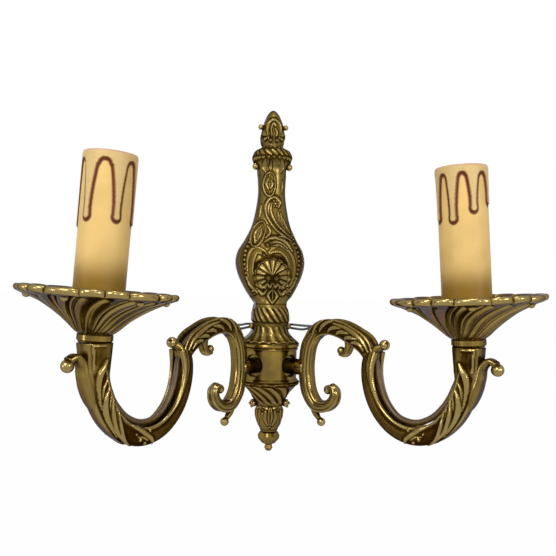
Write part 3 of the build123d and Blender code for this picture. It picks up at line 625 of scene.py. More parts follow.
@dataclass(frozen=True)
class CandleFinish:
    """Aged cream plastic, browner at the foot, with brown stain round the moulded drips that thickens into
    a painted shadow below them.
    """

    name: str = "candle_cream"
    roughness: float = 0.42
    gloss: float = 0.18
    softness: float = 0.05
    bleed: Rgb = (0.003, 0.0018, 0.0008)
    cream: Rgb = (0.76, 0.51, 0.18)
    foot: Rgb = (0.25, 0.14, 0.014)
    shade: Rgb = (0.66, 0.44, 0.15)
    drip: Rgb = (0.64, 0.45, 0.19)
    speck: Rgb = (0.40, 0.27, 0.10)
    stain_and_shade: Rgb = (0.115, 0.020, 0.001)
    rim: Rgb = (0.52, 0.30, 0.20)
    cloud_scale: float = 60.0
    speck_scale: float = 700.0
    grain_scale: float = 500.0
    bump: float = 0.25
    bump_depth: float = 0.0003

    def material(self) -> bpy.types.Material:
        """Build the material from the sleeve's own marks."""
        made = bpy.data.materials.new(self.name)
        made.use_nodes = True
        nodes = NodeTree(made.node_tree)
        shader = made.node_tree.nodes["Principled BSDF"]
        place = nodes.node("ShaderNodeTexCoord").outputs["Object"]
        marks = {}
        for label in ("hollow", "ridge", "ground"):
            marks[label] = nodes.node("ShaderNodeAttribute", attribute_name=label).outputs["Fac"]
        cloud = nodes.noise(place, self.cloud_scale, 4.0)
        speck = nodes.noise(place, self.speck_scale, 3.0)
        dull = nodes.math("MULTIPLY", marks["ground"], -1.0, clamp=True)
        dripping = nodes.math("MULTIPLY", marks["ground"], 1.0, clamp=True)
        clouded = nodes.mix(nodes.span(cloud, 0.35, 0.7), self.cream, self.shade)
        body = nodes.mix(dull, clouded, self.foot)
        dripped = nodes.mix(dripping, body, self.drip)
        grimy = nodes.math("MULTIPLY", nodes.span(speck, 0.55, 0.75), dripping)
        specked = nodes.mix(nodes.math("MULTIPLY", grimy, 0.35), dripped, self.speck)
        stained_and_shaded = nodes.mix(marks["hollow"], specked, self.stain_and_shade)
        rosy = nodes.math("MULTIPLY", marks["ridge"], nodes.span(cloud, 0.3, 0.6, (0.5, 1.0)))
        worn = nodes.mix(rosy, stained_and_shaded, self.rim)
        nodes.link(worn, shader.inputs["Base Color"])
        shader.inputs["Roughness"].default_value = self.roughness
        shader.inputs["Specular IOR Level"].default_value = self.gloss
        shader.inputs["Subsurface Weight"].default_value = self.softness
        shader.inputs["Subsurface Radius"].default_value = self.bleed
        grain = nodes.noise(place, self.grain_scale, 3.0)
        bump = nodes.node("ShaderNodeBump")
        bump.inputs["Strength"].default_value = self.bump
        bump.inputs["Distance"].default_value = self.bump_depth
        nodes.link(grain, bump.inputs["Height"])
        nodes.link(bump.outputs["Normal"], shader.inputs["Normal"])
        return made


# The object's castings


@dataclass
class Arm:
    """Cast double-scroll arm, with the open gutter that carries the lead."""

    large: tuple = (
        (141.2, -27.6, 16.6, 16.6), (141.2, -33.0, 15.8, 15.8), (141.2, -43.0, 14.5, 14.5),
        (139.0, -55.0, 12.5, 13.5), (133.0, -67.5, 10.8, 12.8), (122.5, -76.8, 10.2, 12.5),
        (110.0, -80.3, 10.4, 12.5), (97.0, -77.3, 10.0, 12.5), (86.5, -68.3, 9.6, 12.5),
        (80.4, -55.5, 9.4, 12.5), (79.0, -43.0, 9.4, 12.0), (80.8, -33.5, 9.0, 10.5),
    )
    arch: tuple = (
        (80.4, -37.5, 8.0, 10.5), (75.0, -30.2, 11.0, 10.5), (67.0, -25.6, 11.2, 10.5),
        (58.0, -21.9, 10.8, 10.2), (49.0, -20.9, 9.8, 9.8), (40.2, -23.6, 8.8, 9.5),
        (33.8, -31.0, 8.2, 9.5), (31.2, -42.0, 8.0, 9.5), (31.4, -54.0, 8.0, 9.5),
        (34.4, -65.0, 7.8, 9.5), (40.3, -71.2, 7.2, 9.2), (47.6, -70.9, 6.4, 8.6),
        (53.0, -66.2, 5.6, 8.0), (53.6, -60.6, 4.8, 7.4), (50.2, -58.0, 4.2, 7.0),
    )
    outer_curl: tuple = (
        (139.6, -63.5, 3.0, 6.0), (142.6, -58.5, 5.0, 9.0), (145.4, -51.5, 6.0, 11.0),
        (147.8, -44.0, 5.2, 10.0), (149.4, -37.6, 4.4, 8.8), (153.2, -34.4, 3.8, 7.6),
        (157.0, -36.0, 3.6, 6.4),
    )
    under_curl: tuple = (
        (63.5, -27.5, 5.0, 7.0), (63.4, -33.0, 4.4, 6.6), (60.8, -37.2, 3.8, 6.0),
        (57.4, -36.8, 3.2, 5.4),
    )
    drop_leaf: tuple = (
        (37.6, -70.6, 5.0, 6.0), (38.8, -76.0, 3.6, 4.6), (41.6, -79.4, 2.6, 3.0),
    )
    inner_curl: tuple = (
        (80.8, -38.0, 6.0, 10.5), (83.4, -33.0, 5.0, 8.0), (87.0, -30.6, 4.0, 5.0),
    )
    balls: tuple = (
        (157.3, -38.6, 3.5), (88.4, -29.8, 3.2), (57.6, -35.2, 2.6), (48.2, -60.4, 2.9),
        (43.2, -81.2, 2.7),
    )
    # Leaf lobes of the large scroll: rows of run, girth from the outer crest, and half width
    leaves: tuple = (
        (
            (8.6, 15.4, 0.6), (12.0, 13.6, 1.5), (15.8, 10.8, 1.8), (20.2, 9.0, 1.5),
            (26, 7.9, 0.9), (33, 6.6, 0.4),
        ),
        (
            (24.0, 14.6, 0.5), (27.6, 11.8, 1.4), (31.4, 9.4, 1.8), (37.0, 7.8, 1.6),
            (43, 6.7, 1.2), (51, 4.6, 0.4),
        ),
        (
            (31.0, 14.8, 0.5), (35.0, 13.0, 1.4), (39.2, 10.8, 1.8), (43.8, 8.6, 1.7),
            (50, 6.6, 1.2), (58, 3.8, 0.4),
        ),
        ((41.0, 14.2, 0.5), (45.0, 12.0, 1.3), (49.0, 9.2, 1.5), (54.0, 6.2, 1.1), (61, 2.8, 0.4)),
        (
            (55.5, 14.2, 0.6), (60.5, 13.8, 1.2), (65.0, 12.6, 1.6), (69.0, 10.6, 1.6),
            (72, 7.6, 1.1), (73, 4.4, 0.5),
        ),
    )
    veins: tuple = (
        ((19.4, 14.4, 0.4), (23.0, 11.4, 0.9), (28.0, 9.0, 0.7), (34.0, 7.2, 0.3)),
        ((29.0, 14.4, 0.4), (32.4, 12.2, 0.7), (37.0, 9.9, 0.7), (43.0, 8.0, 0.3)),
        ((36.4, 14.6, 0.4), (41.0, 12.6, 0.7), (46.5, 9.9, 0.7), (53.0, 6.9, 0.3)),
        ((62.0, 9.4, 0.4), (66.0, 9.6, 0.8), (69.0, 8.0, 0.5)),
    )
    leaf_beads: tuple = ((64.0, 8.2, 1.1), (67.6, 6.2, 1.0), (70.6, 12.9, 1.0), (60.6, 10.6, 0.8))
    # Leaf lobes of the arch, in the same terms
    acanthus: tuple = (
        ((3.0, 9.6, 0.7), (12.0, 11.4, 1.6), (22.0, 11.8, 1.4), (32.0, 11.0, 0.6)),
        ((5.0, 7.4, 0.5), (10.0, 8.0, 1.2), (14.0, 7.0, 1.2), (16.6, 5.0, 0.6)),
        ((13.0, 9.8, 0.6), (17.4, 8.4, 1.3), (20.6, 6.4, 1.1), (22.2, 4.4, 0.5)),
        ((20.0, 9.8, 0.6), (24.2, 8.6, 1.3), (27.4, 6.8, 1.1), (29.4, 4.8, 0.5)),
        ((27.0, 10.0, 0.6), (31.0, 8.8, 1.2), (34.2, 7.0, 1.0), (36.4, 5.0, 0.5)),
        ((33.0, 12.2, 0.5), (37.0, 10.6, 1.2), (40.6, 8.2, 1.1), (43.0, 5.8, 0.5)),
        ((39.0, 12.4, 0.5), (43.0, 10.8, 1.1), (46.4, 8.4, 0.9), (49.0, 6.6, 0.4)),
    )
    # Rolls of the arch: girth from the crest, half width and height
    rolls: tuple = ((6.9, 1.7, 0.5), (10.9, 1.6, 0.45))
    stub_height: float = -48.0
    # Rows of distance and radius of the round end that seats in the hub
    stub_rings: tuple = ((15.5, 5.2), (28.0, 5.2), (29.5, 5.6), (31.0, 5.8))
    step: float = 0.45
    around: int = 112
    # Half section over width and thickness: offset to one side, and out from the gutter
    gutter_section: tuple = (
        (0.0, 0.50), (0.20, 0.485), (0.33, 0.43), (0.375, 0.35), (0.43, 0.30), (0.485, 0.12),
        (0.50, -0.10), (0.485, -0.32), (0.50, -0.42), (0.47, -0.50), (0.40, -0.51), (0.335, -0.44),
        (0.29, -0.25), (0.20, -0.10), (0.0, -0.04),
    )
    plain_section: tuple = (
        (0.0, 0.50), (0.20, 0.49), (0.36, 0.43), (0.46, 0.30), (0.50, 0.10), (0.50, -0.10),
        (0.46, -0.30), (0.36, -0.43), (0.20, -0.49), (0.0, -0.50),
    )

    def section(self, half: tuple) -> Array:
        """Closed ring of section points from one half, starting at the outer crest."""
        count = self.around // 2
        line = smooth_line(half, 0.002)
        t = np.linspace(0, len(line) - 1, count + 1)
        side = np.stack([np.interp(t, np.arange(len(line)), line[:, k]) for k in (0, 1)], axis=1)
        other = side[1:-1][::-1] * (-1, 1)
        return np.concatenate([side, other])

    def sweep(
        self,
        shape: Shape,
        stations: tuple,
        halves: Callable[[Array], Array],
        carve: Optional[Callable[[Relief], None]] = None,
    ) -> None:
        """Sweep a changing section along stations and carve it.

        Args:
            shape: where the grid is gathered.
            stations: rows of distance, height, thickness and width.
            halves: share of gutter in the section, over the run in millimetres.
            carve: function that models relief over run and girth.
        """
        line = smooth_line(stations, self.step)
        run = np.arange(len(line)) * self.step
        heading = np.gradient(line[:, :2], axis=0)
        heading /= np.linalg.norm(heading, axis=1, keepdims=True)
        inward = np.stack([heading[:, 1], -heading[:, 0]], axis=1)
        gutter = self.section(self.gutter_section)
        plain = self.section(self.plain_section)
        share = halves(run)[:, None, None]
        ring = gutter[None] * share + plain[None] * (1 - share)
        out = ring[..., 1] * line[:, 2][:, None]
        side = ring[..., 0] * line[:, 3][:, None]
        points = np.stack(
            [
                line[:, 0][:, None] - inward[:, 0][:, None] * out,
                line[:, 1][:, None] - inward[:, 1][:, None] * out,
                side,
            ],
            axis=-1,
        )
        relief = ground = stain_and_shade = None
        if carve:
            step = np.diff(np.concatenate([points, points[:, :1]], axis=1), axis=1)
            girth = np.cumsum(np.linalg.norm(step, axis=2), axis=1)
            girth = np.concatenate([np.zeros((len(girth), 1)), girth[:, :-1]], axis=1)
            total = np.linalg.norm(step, axis=2).sum(axis=1)[:, None]
            girth = np.where(girth > total / 2, girth - total, girth)
            board = Relief(run[:, None] * np.ones_like(girth), girth)
            carve(board)
            relief, ground, stain_and_shade = board.height, board.ground, board.stain_and_shade
        outward = grid_normals(points, True)
        middle = np.stack([line[:, 0], line[:, 1], 0 * line[:, 0]], axis=1)[:, None]
        flip = float(((points - middle) * outward).sum()) < 0
        ends = (True, True)
        shape.add_grid(
            points, closed=True, caps=ends, relief=relief, ground=ground, stain_and_shade=stain_and_shade, flip=flip
        )

    def carve_large(self, board: Relief) -> None:
        """Smooth outer band, leaf field, stippled band and edge moulding of the large scroll."""
        run = board.x
        reach = np.abs(board.y)
        band = np.interp(run, (12, 24, 32, 38, 44, 54, 62), (6.0, 8.4, 6.4, 5.8, 4.8, 2.6, 0.0))
        field = ((run > 15) & (run < 71) & (reach > band) & (reach < 13.6)).astype(float)
        inner = np.interp(run, (66, 84, 101, 114, 126, 152), (13.4, 13.4, 12.4, 10.9, 8.7, 8.2))
        strip = ((run > 68) & (run < 158) & (reach < inner)).astype(float)
        panel = ((run > 2.2) & (run < 11.5) & (reach > 8.6) & (reach < 14.4)).astype(float)
        crossed = np.maximum(
            np.abs(np.sin((run + reach) * 3.1)), np.abs(np.sin((run - reach) * 3.1))
        )
        board.ground = box_blur(np.maximum(field, 0.75 * strip), 1, True)
        board.stain_and_shade = box_blur(0.75 * field + 0.42 * strip + 0.8 * panel, 1, True)
        # Dark inside the gutter of the large scroll: patina and painted shade
        board.stain_and_shade += np.clip((reach - 16.5) / 2.0, 0, 0.75)
        board.height = -0.55 * box_blur(field, 1, True) - 0.25 * box_blur(strip, 1, True)
        board.height -= panel * (0.75 - 0.45 * crossed**3)
        for side in (1, -1):
            for leaf in self.leaves:
                rows = [(place, side * girth, half) for place, girth, half in leaf]
                board.stroke(rows, 1.25)
            for vein in self.veins:
                rows = [(place, side * girth, half) for place, girth, half in vein]
                board.stroke(rows, 0.7)
            for place, girth, radius in self.leaf_beads:
                board.bead(place, side * girth, radius, 0.9 * radius)
            frame_line = [(0.6, side * 7.7, 0.55), (7, side * 7.7, 0.6), (13, side * 7.6, 0.5)]
            board.stroke(frame_line, 0.6)
            board.stroke([(1.2, side * 7.7, 0.5), (1.3, side * 15.0, 0.5)], 0.5)
            board.stroke([(10, side * 14.9, 0.5), (40, side * 14.7, 0.6), (70, side * 14.8, 0.6)], 0.5)
            middle = [(k, float(np.interp(k, run[:, 0], inner[:, 0]))) for k in range(70, 156, 12)]
            rows = [(k, side * (edge + 15.4) / 2, (15.4 - edge) / 2) for k, edge in middle]
            board.stroke(rows, 0.8)
        live = np.clip(board.height / 0.5, 0, 1)
        board.stain_and_shade *= 1 - live
        board.ground *= 1 - live

    def carve_arch(self, board: Relief) -> None:
        """Acanthus over the arch and parallel rolls down the hub limb to the volute."""
        run = board.x
        reach = np.abs(board.y)
        field = ((run > 4) & (run < 47) & (reach > 4.4) & (reach < 12.8)).astype(float)
        board.ground = box_blur(0.7 * field, 2, True)
        board.stain_and_shade = box_blur(0.6 * field, 1, True)
        # Dark inside the gutter of the arch: patina and painted shade
        board.stain_and_shade += np.clip((reach - 13.6) / 1.6, 0, 0.8) * np.clip((60 - run) / 8, 0, 1)
        board.height = -0.4 * box_blur(field, 1, True)
        for side in (1, -1):
            for leaf in self.acanthus:
                rows = [(place, side * girth, half) for place, girth, half in leaf]
                board.stroke(rows, 1.1)
            board.stroke([(2, side * 3.0, 0.7), (24, side * 3.2, 0.9), (50, side * 3.4, 0.7)], 0.5)
            for place, half, lift in self.rolls:
                board.stroke(
                    [
                        (45, side * place, 0.5),
                        (54, side * place, half),
                        (88, side * place, half),
                        (108, side * place * 0.9, half * 0.8),
                        (138, side * place * 0.7, half * 0.4),
                    ],
                    lift,
                )
        limb = np.clip((run - 46) / 8, 0, 1) * np.clip((136 - run) / 30, 0, 1)
        board.height += limb * 0.7 * np.sqrt(np.clip(1 - (reach / 4.4) ** 2, 0, 1))
        live = np.clip(board.height / 0.5, 0, 1)
        board.stain_and_shade *= 1 - live
        board.ground *= 1 - live

    def shape(self) -> Shape:
        """The whole casting, in the arm's own plane."""
        made = Shape()
        self.sweep(
            made,
            self.large,
            lambda run: np.clip((run - 14) / 16, 0, 1) * np.clip((190 - run) / 14, 0.3, 1),
            self.carve_large,
        )
        self.sweep(made, self.arch, lambda run: np.clip((58 - run) / 14, 0, 1), self.carve_arch)
        for curl in (self.outer_curl, self.under_curl, self.drop_leaf, self.inner_curl):
            self.sweep(made, curl, lambda run: np.zeros_like(run))
        for s, h, radius in self.balls:
            made.add_ball((s, h, 0.0), radius)
        rings = []
        theta = np.linspace(0, 2 * math.pi, 48, endpoint=False)
        for s, radius in self.stub_rings:
            height = self.stub_height + radius * np.cos(theta)
            rings.append(np.stack([np.full(48, s), height, radius * np.sin(theta)], axis=1))
        stub = np.array(rings)
        # The round end keeps bare metal, and the pale rubbed colour added all over it is a painted
        # highlight
        bare = np.full(stub.shape[:2], -2.0)
        axis = stub.mean(axis=1, keepdims=True)
        flip = float(((stub - axis) * grid_normals(stub, True)).sum()) < 0
        made.add_grid(stub, closed=True, caps=(True, True), flip=flip, stain_and_shade=bare, polish_and_highlight=0.6)
        return made

    def build(self, side: Side, brass: bpy.types.Material) -> bpy.types.Object:
        """Make one side's arm in place of its node."""
        shape = self.shape().moved(arm_to_world(side), mirrored=side is Side.RIGHT)
        piece = shape.build(f"arm_casting_{side.word}")
        piece.data.materials.append(brass)
        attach(piece, "root")
        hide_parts(f"arm_{side.word}")
        return piece


@dataclass
class DripPan:
    """Cast dish with swirled gadroons, bulbs under the rim and a rolled, scalloped edge."""

    # Widths of the rim's lobes in degrees, from the first notch right of the front
    lobes: tuple = (26.0, 17.0, 17.0) * 6
    first_notch: float = -30.0
    swirl: float = 34.0
    bulb_place: tuple = (35.4, -4.7)
    bulb_radius: float = 2.1
    columns: int = 760
    outside: tuple = (
        (5.3, -22.8), (9.6, -22.8), (10.3, -22.2), (12.6, -20.0), (15.6, -17.1), (20.0, -13.3),
        (25.6, -9.4), (32.0, -5.9), (36.5, -4.1), (39.2, -3.7), (41.2, -2.9), (42.0, -1.5),
        (41.6, -0.1), (40.4, 0.3), (39.0, -0.2), (36.8, -1.4), (32.0, -3.2), (24.6, -7.2),
        (17.0, -13.0), (15.0, -14.2), (5.3, -14.25),
    )

    def across_lobe(self, degrees: Array) -> tuple[Array, Array]:
        """Place across the lobe at each angle, from -1 to 1, and the lobe's width in degrees."""
        edges = np.r_[0, np.cumsum(self.lobes)]
        local = (degrees - self.first_notch) % 360
        index = np.clip(np.searchsorted(edges, local, "right") - 1, 0, len(self.lobes) - 1)
        width = np.array(self.lobes)[index]
        return (local - edges[index]) / width * 2 - 1, width

    def relief(self, across: Array, wide: Array, radius: Array) -> Array:
        """Height of the gadroons under the dish, in millimetres at full strength."""
        q = np.abs(across)
        slender = np.interp(radius, (10, 22, 36), (0.34, 0.40, 0.50))
        round_lobe = np.sqrt(np.clip(1 - (q / 0.95) ** 2, 0, 1)) - 0.55
        tongue = 1.1 * np.sqrt(np.clip(1 - (q / slender) ** 2, 0, 1)) - 0.5
        flank = np.clip((q - slender - 0.06) / 0.2, 0, 1) * np.clip((0.97 - q) / 0.16, 0, 1)
        split = np.maximum(tongue, 0.5 * flank - 0.42)
        fillet = 0.42 * np.exp(-(((1 - q) / 0.075) ** 2))
        return np.where(wide, split, round_lobe) + fillet

    def build(self, side: Side, brass: bpy.types.Material) -> bpy.types.Object:
        """Make one pan in place of its node."""
        line = smooth_line(self.outside, 0.42)
        theta = np.linspace(0, 2 * math.pi, self.columns, endpoint=False)[None]
        radius, height = line[:, :1], line[:, 1:2]
        rows = np.arange(len(line))[:, None]
        top = int(np.argmax(line[:, 0]))
        share = np.interp(radius, (10.4, 15.6, 25.6, 36.5), (0.0, 0.25, 0.6, 1.0))
        across, width = self.across_lobe(np.degrees(theta) + self.swirl * (1 - share))
        wide = width == max(self.lobes)
        under = np.clip((top - 6 - rows) / 8.0, 0, 1)
        strength = np.interp(radius, (9.9, 11.5, 20, 34, 40), (0.0, 0.55, 1.2, 1.9, 1.1))
        relief = strength * under * self.relief(across, wide, radius)
        over = np.clip((rows - top - 9) / 10.0, 0, 1) * np.clip((radius - 15.5) / 8, 0, 1)
        relief = relief - 0.9 * over * np.exp(-(((1 - np.abs(across)) / 0.25) ** 2))
        edge = np.clip((radius - 33.0) / 7.0, 0, 1)
        pinch = 2.0 * np.abs(across) ** 2.6
        r = radius - edge * pinch
        curl = np.clip((radius - 38.0) / 3.0, 0, 1)
        z = height - 0.5 * curl * np.abs(across) ** 3 - 0.25 * curl * wide
        points = np.stack([r * np.sin(theta), -r * np.cos(theta), z + 0 * theta], axis=-1)
        made = Shape()
        made.add_grid(points, closed=True, relief=relief, flip=True)
        reach, drop = self.bulb_place
        start = self.first_notch
        for span in self.lobes:
            if span == max(self.lobes):
                middle = math.radians(start + span / 2)
                centre = (reach * math.sin(middle), -reach * math.cos(middle), drop)
                made.add_ball(centre, self.bulb_radius)
            start += span
        piece = made.moved(by_matrix(candle_matrix(side))).build(f"pan_casting_{side.word}")
        piece.data.materials.append(brass)
        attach(piece, "root")
        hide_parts(f"drip_pan_{side.word}")
        return piece


@dataclass
class Pillar:
    """Half-round relief casting that stands against the wall."""

    # Rows of height, half width and depth from the wall
    outline: tuple = (
        (-58.0, 19.4, 38.0), (-56.6, 18.2, 36.8), (-54.0, 15.2, 34.0), (-51.4, 12.8, 31.6),
        (-49.0, 11.7, 30.6), (-46.4, 11.3, 30.0), (-44.8, 11.4, 29.8), (-44.0, 12.1, 30.4),
        (-41.0, 12.5, 31.0), (-36.0, 11.8, 29.4), (-32.6, 10.6, 27.8), (-31.0, 10.7, 27.4),
        (-26.5, 14.4, 26.6), (-19.0, 19.0, 26.4), (-11.0, 22.6, 26.2), (-3.0, 24.2, 25.6),
        (4.0, 23.0, 24.2), (12.0, 18.4, 21.4), (22.5, 13.4, 17.8), (33.0, 10.9, 15.5),
        (45.0, 9.4, 14.0), (56.0, 9.8, 14.0), (62.6, 10.2, 14.5), (64.0, 10.8, 15.2),
        (66.5, 12.9, 17.0), (70.0, 14.0, 18.0), (74.0, 12.4, 16.8), (76.6, 8.0, 13.0),
        (78.0, 6.6, 12.0), (79.6, 7.0, 12.4), (83.5, 8.5, 14.2), (90.0, 7.6, 13.4),
        (96.5, 5.6, 11.0), (100.5, 3.6, 8.4), (102.6, 1.8, 6.2), (103.2, 0.6, 5.2),
    )
    # Twisted gadroons: lowest and highest point, count over the front, lean and height
    gadroons: tuple = ((-44.2, -33.4, 9, 1.7, 1.1), (69.4, 77.0, 10, 1.4, 0.9))
    # Strokes of the relief: rows of distance to the right, height and half width
    frame_left: tuple = (
        (-5.4, 2.0, 1.2), (-7.6, 3.6, 1.7), (-11.2, 4.4, 2.3), (-14.4, -0.4, 2.4),
        (-15.3, -7.0, 2.1), (-14.2, -14.4, 1.9), (-11.4, -19.8, 1.6), (-8.0, -22.4, 1.2),
    )
    frame_right: tuple = (
        (-2.0, 3.0, 1.0), (1.0, 5.0, 1.8), (5.4, 5.4, 2.4), (10.4, 1.6, 2.5),
        (13.2, -5.0, 2.2), (13.4, -11.6, 1.9), (11.6, -17.2, 1.7), (7.6, -21.8, 1.2),
    )
    crest_leaves: tuple = (
        (
            (-5.6, 10.2, 0.7), (-1.6, 12.8, 1.2), (3.8, 12.8, 1.4), (9.2, 10.2, 1.3),
            (13.6, 4.6, 0.6),
        ),
        ((-1.4, 9.4, 0.6), (2.2, 10.6, 1.2), (6.6, 9.6, 1.2), (10.4, 6.4, 0.7)),
        ((-0.8, 7.4, 0.5), (2.6, 8.4, 1.0), (6.0, 7.8, 0.6)),
        ((2.6, 12.6, 0.5), (5.6, 14.6, 0.9), (9.6, 13.4, 0.5)),
    )
    neck_leaves: tuple = (
        ((3.4, 32.0, 0.4), (4.4, 27.6, 1.2), (7.0, 22.4, 0.4)),
        ((5.6, 30.6, 0.4), (6.4, 26.4, 1.0), (9.4, 21.0, 0.4)),
        ((7.4, 27.0, 0.4), (9.2, 22.0, 1.0), (12.4, 17.2, 0.4)),
        ((-7.6, 36.0, 0.4), (-8.0, 31.0, 0.9), (-8.8, 27.4, 0.4)),
        ((6.4, 45.0, 0.4), (6.6, 49.0, 1.0), (6.8, 53.0, 0.4)),
        ((-4.6, 13.0, 0.5), (-1.8, 17.0, 1.0), (-3.8, 21.4, 0.4)),
    )
    bud_arch: tuple = (
        (-4.6, 83.6, 0.9), (-4.4, 89.6, 1.2), (-2.6, 94.4, 1.1), (0.0, 95.8, 1.0),
        (2.6, 94.4, 1.1), (4.4, 89.6, 1.2), (4.6, 83.6, 0.9),
    )
    # Beads: distance to the right, height and radius
    frame_beads: tuple = ((10.6, -21.4, 1.0), (7.8, -20.6, 1.0), (5.0, -21.0, 0.9), (11.6, -25.0, 0.8))
    neck_scroll: tuple = (
        (4.3, 35.0, 0.9), (5.2, 38.0, 1.1), (2.4, 41.2, 1.2), (-1.6, 40.8, 1.2),
        (-4.4, 36.8, 1.2), (-4.6, 30.0, 1.1), (-2.4, 25.0, 1.0), (2.4, 18.8, 1.0),
        (8.0, 14.6, 0.9), (13.8, 11.6, 0.6),
    )
    neck_vein: tuple = (
        (-1.0, 37.0, 0.5), (-1.2, 31.0, 1.1), (1.6, 24.4, 0.9), (7.4, 18.2, 0.7), (13.6, 13.6, 0.4),
    )
    # Side knobs: offset to one side, place from the wall, height and radius
    knobs: tuple = ((8.6, -6.5, 91.0, 1.9), (11.6, -6.5, 63.4, 2.4), (12.2, -12.0, -47.0, 2.3))
    # Height, half height and depth of the slot that lets the cores in
    notch: tuple = (-47.0, 3.2, 5.0)
    notch_side: float = 8.0
    end_slack: float = 0.02
    # Borders that follow the bulge: shares of the half width, and the beads' pitch
    edge_share: float = 0.86
    band_share: float = 0.775
    band_beads: int = 12
    bead_pitch: float = 3.0
    cap_beads: int = 11
    skirt_flutes: float = 8.5
    # Centres of the neck's flower and of its lower oval
    flower: tuple = (1.8, 37.2)
    lower_oval: tuple = (-9.9, 15.8)
    skin: float = 1.2
    grime: float = 0.10

    def grid(self, step: float, across: int) -> tuple[Array, Array, Array]:
        """Points of the plain front, with their half widths and share across.

        Args:
            step: spacing of the rows.
            across: number of columns from one back edge round the front to the other.

        Returns:
            The points, the half width of each row, and the angle of each column.
        """
        line = smooth_line(self.outline, step, dims=2)
        height, half, depth = line[:, 0], line[:, 1], line[:, 2]
        bulge = np.minimum(half, depth - 0.5)
        shoulder = depth - bulge
        arc = math.pi * np.sqrt((half**2 + bulge**2) / 2)
        total = 2 * shoulder + arc
        t = np.linspace(0, 1, across)[None] * total[:, None]
        flank = shoulder[:, None]
        angle = np.clip((t - flank) / arc[:, None], 0, 1) * math.pi
        x = -half[:, None] * np.cos(angle)
        y = -flank - bulge[:, None] * np.sin(angle)
        y = np.where(t < flank, -t, y)
        y = np.where(t > flank + arc[:, None], -(total[:, None] - t), y)
        z = height[:, None] * np.ones_like(t)
        return np.stack([x, y, z], axis=-1), half, angle

    def carve(self, board: Relief, half: Array, angle: Array) -> None:
        """Model all ornament on the front, in positions seen from the front."""
        self.carve_borders(board, half)
        self.carve_gadroons(board, angle)
        self.carve_shell(board)
        self.carve_frame(board)
        self.carve_neck(board)
        self.carve_bud(board)

    def carve_borders(self, board: Relief, half: Array) -> None:
        """Plain edge band and sunken beaded band that follow the bulge's outline."""
        x, z = board.x, board.y
        share = np.abs(x) / half[:, None]
        low = np.clip((z + 27) / 3, 0, 1)
        high = np.clip((60 - z) / 3, 0, 1)
        edge = np.exp(-(((share - self.edge_share) / 0.022) ** 2)) * low * high
        board.height -= 0.55 * edge
        board.stain_and_shade += 0.5 * edge
        belt = low * np.clip((13 - z) / 4, 0, 1)
        band = np.clip(1 - (np.abs(share - self.band_share) / 0.062) ** 4, 0, 1) * belt
        board.height -= 0.5 * band
        board.stain_and_shade += 0.35 * band
        heights = [r[0] for r in self.outline]
        halves = [r[1] for r in self.outline]
        for side in (-1, 1):
            for k in range(self.band_beads):
                height = 10.0 - self.bead_pitch * k
                width = np.interp(height, heights, halves)
                board.bead(side * self.band_share * width, height, 1.0, 0.9)

    def carve_gadroons(self, board: Relief, angle: Array) -> None:
        """Twisted gadroons of the waist and the cap, and the fluted, scalloped skirt."""
        z = board.y
        for low, high, count, lean, lift in self.gadroons:
            t = (z - low) / (high - low)
            inside = np.clip(t * 7, 0, 1) * np.clip((1 - t) * 7, 0, 1)
            phase = angle / math.pi * count + lean * t
            ridge = np.abs(np.sin(math.pi * phase)) ** 0.7
            board.height += inside * lift * (ridge - 0.6)
            board.stain_and_shade += inside * 0.55 * np.clip(1 - ridge * 1.9, 0, 1)
        for k in range(self.cap_beads):
            turn = math.pi * (k + 0.5) / self.cap_beads
            board.bead(-13.2 * math.cos(turn), 68.2 + 0.5 * math.sin(turn), 1.35, 1.5)
        inside = np.clip((-45.8 - z) / 1.2, 0, 1) * np.clip((z + 56.2) / 1.0, 0, 1)
        phase = angle / math.pi * self.skirt_flutes + 0.5 + 0.05 * (z + 50)
        channel = np.abs(np.sin(math.pi * phase))
        board.height += inside * 0.9 * (channel**0.7 - 0.6)
        board.stain_and_shade += inside * 0.6 * np.clip(1 - channel * 1.8, 0, 1)
        scallop = -56.9 + 1.1 * channel
        lip = np.exp(-(((z - scallop) / 0.42) ** 2))
        board.height += 0.75 * lip
        below = ((z < scallop - 0.5) & (z > -57.9)).astype(float)
        board.stain_and_shade += 0.7 * below
        ring = np.exp(-(((z + 45.2) / 0.5) ** 2))
        board.height -= 0.8 * ring
        board.stain_and_shade += 0.8 * ring
        for place in (-31.9, 78.2):
            groove = np.exp(-(((z - place) / 0.5) ** 2))
            board.height -= 0.5 * groove
            board.stain_and_shade += 0.6 * groove

    def carve_shell(self, board: Relief) -> None:
        """Scallop shell of eleven lobes in a sunken disc, with two beads at its hinge."""
        x, z = board.x, board.y
        hinge, radius = -13.2, 13.4
        dx, dz = x + 0.2, z - hinge
        r = np.hypot(dx, dz)
        angle = np.arctan2(dx, dz)
        spread = math.radians(132)
        lobe = angle / spread * 5.5
        inside = np.abs(angle) < spread
        ripple = np.abs(np.cos(math.pi * lobe))
        edge = radius * (0.90 + 0.10 * ripple)
        disc = np.clip((14.2 - np.hypot(dx, (dz - 0.6) * 0.98)) / 1.2, 0, 1)
        board.height = board.height * (1 - disc) - 0.55 * disc
        board.stain_and_shade = board.stain_and_shade * (1 - disc) + 0.95 * disc
        fan = np.clip((edge - r) / 0.9, 0, 1) * inside
        dish = 0.5 + 1.0 * (r / radius) ** 1.5
        valley = (1 - ripple) ** 1.6
        form = fan * (dish - 1.2 * valley * np.clip(r / 5.0, 0, 1))
        rim = 0.75 * np.exp(-(((r - edge + 0.8) / 0.6) ** 2)) * inside
        board.height = np.maximum(board.height, form + rim - 0.45 * (fan == 0))
        board.stain_and_shade = np.where(fan > 0.5, 0.75 * valley * np.clip(1.2 - rim, 0, 1), board.stain_and_shade)
        for side, centre in ((-1, -3.2), (1, 2.7)):
            board.bead(centre, -14.2, 2.5, 3.4)
            board.sided(side, ((9.4, -18.6, 1.3), (6.6, -20.4, 1.5), (3.6, -18.6, 0.9)), 1.5)
            board.sided(side, ((3.4, -18.2, 0.8), (1.8, -20.2, 1.2), (0.6, -18.0, 0.7)), 1.5)

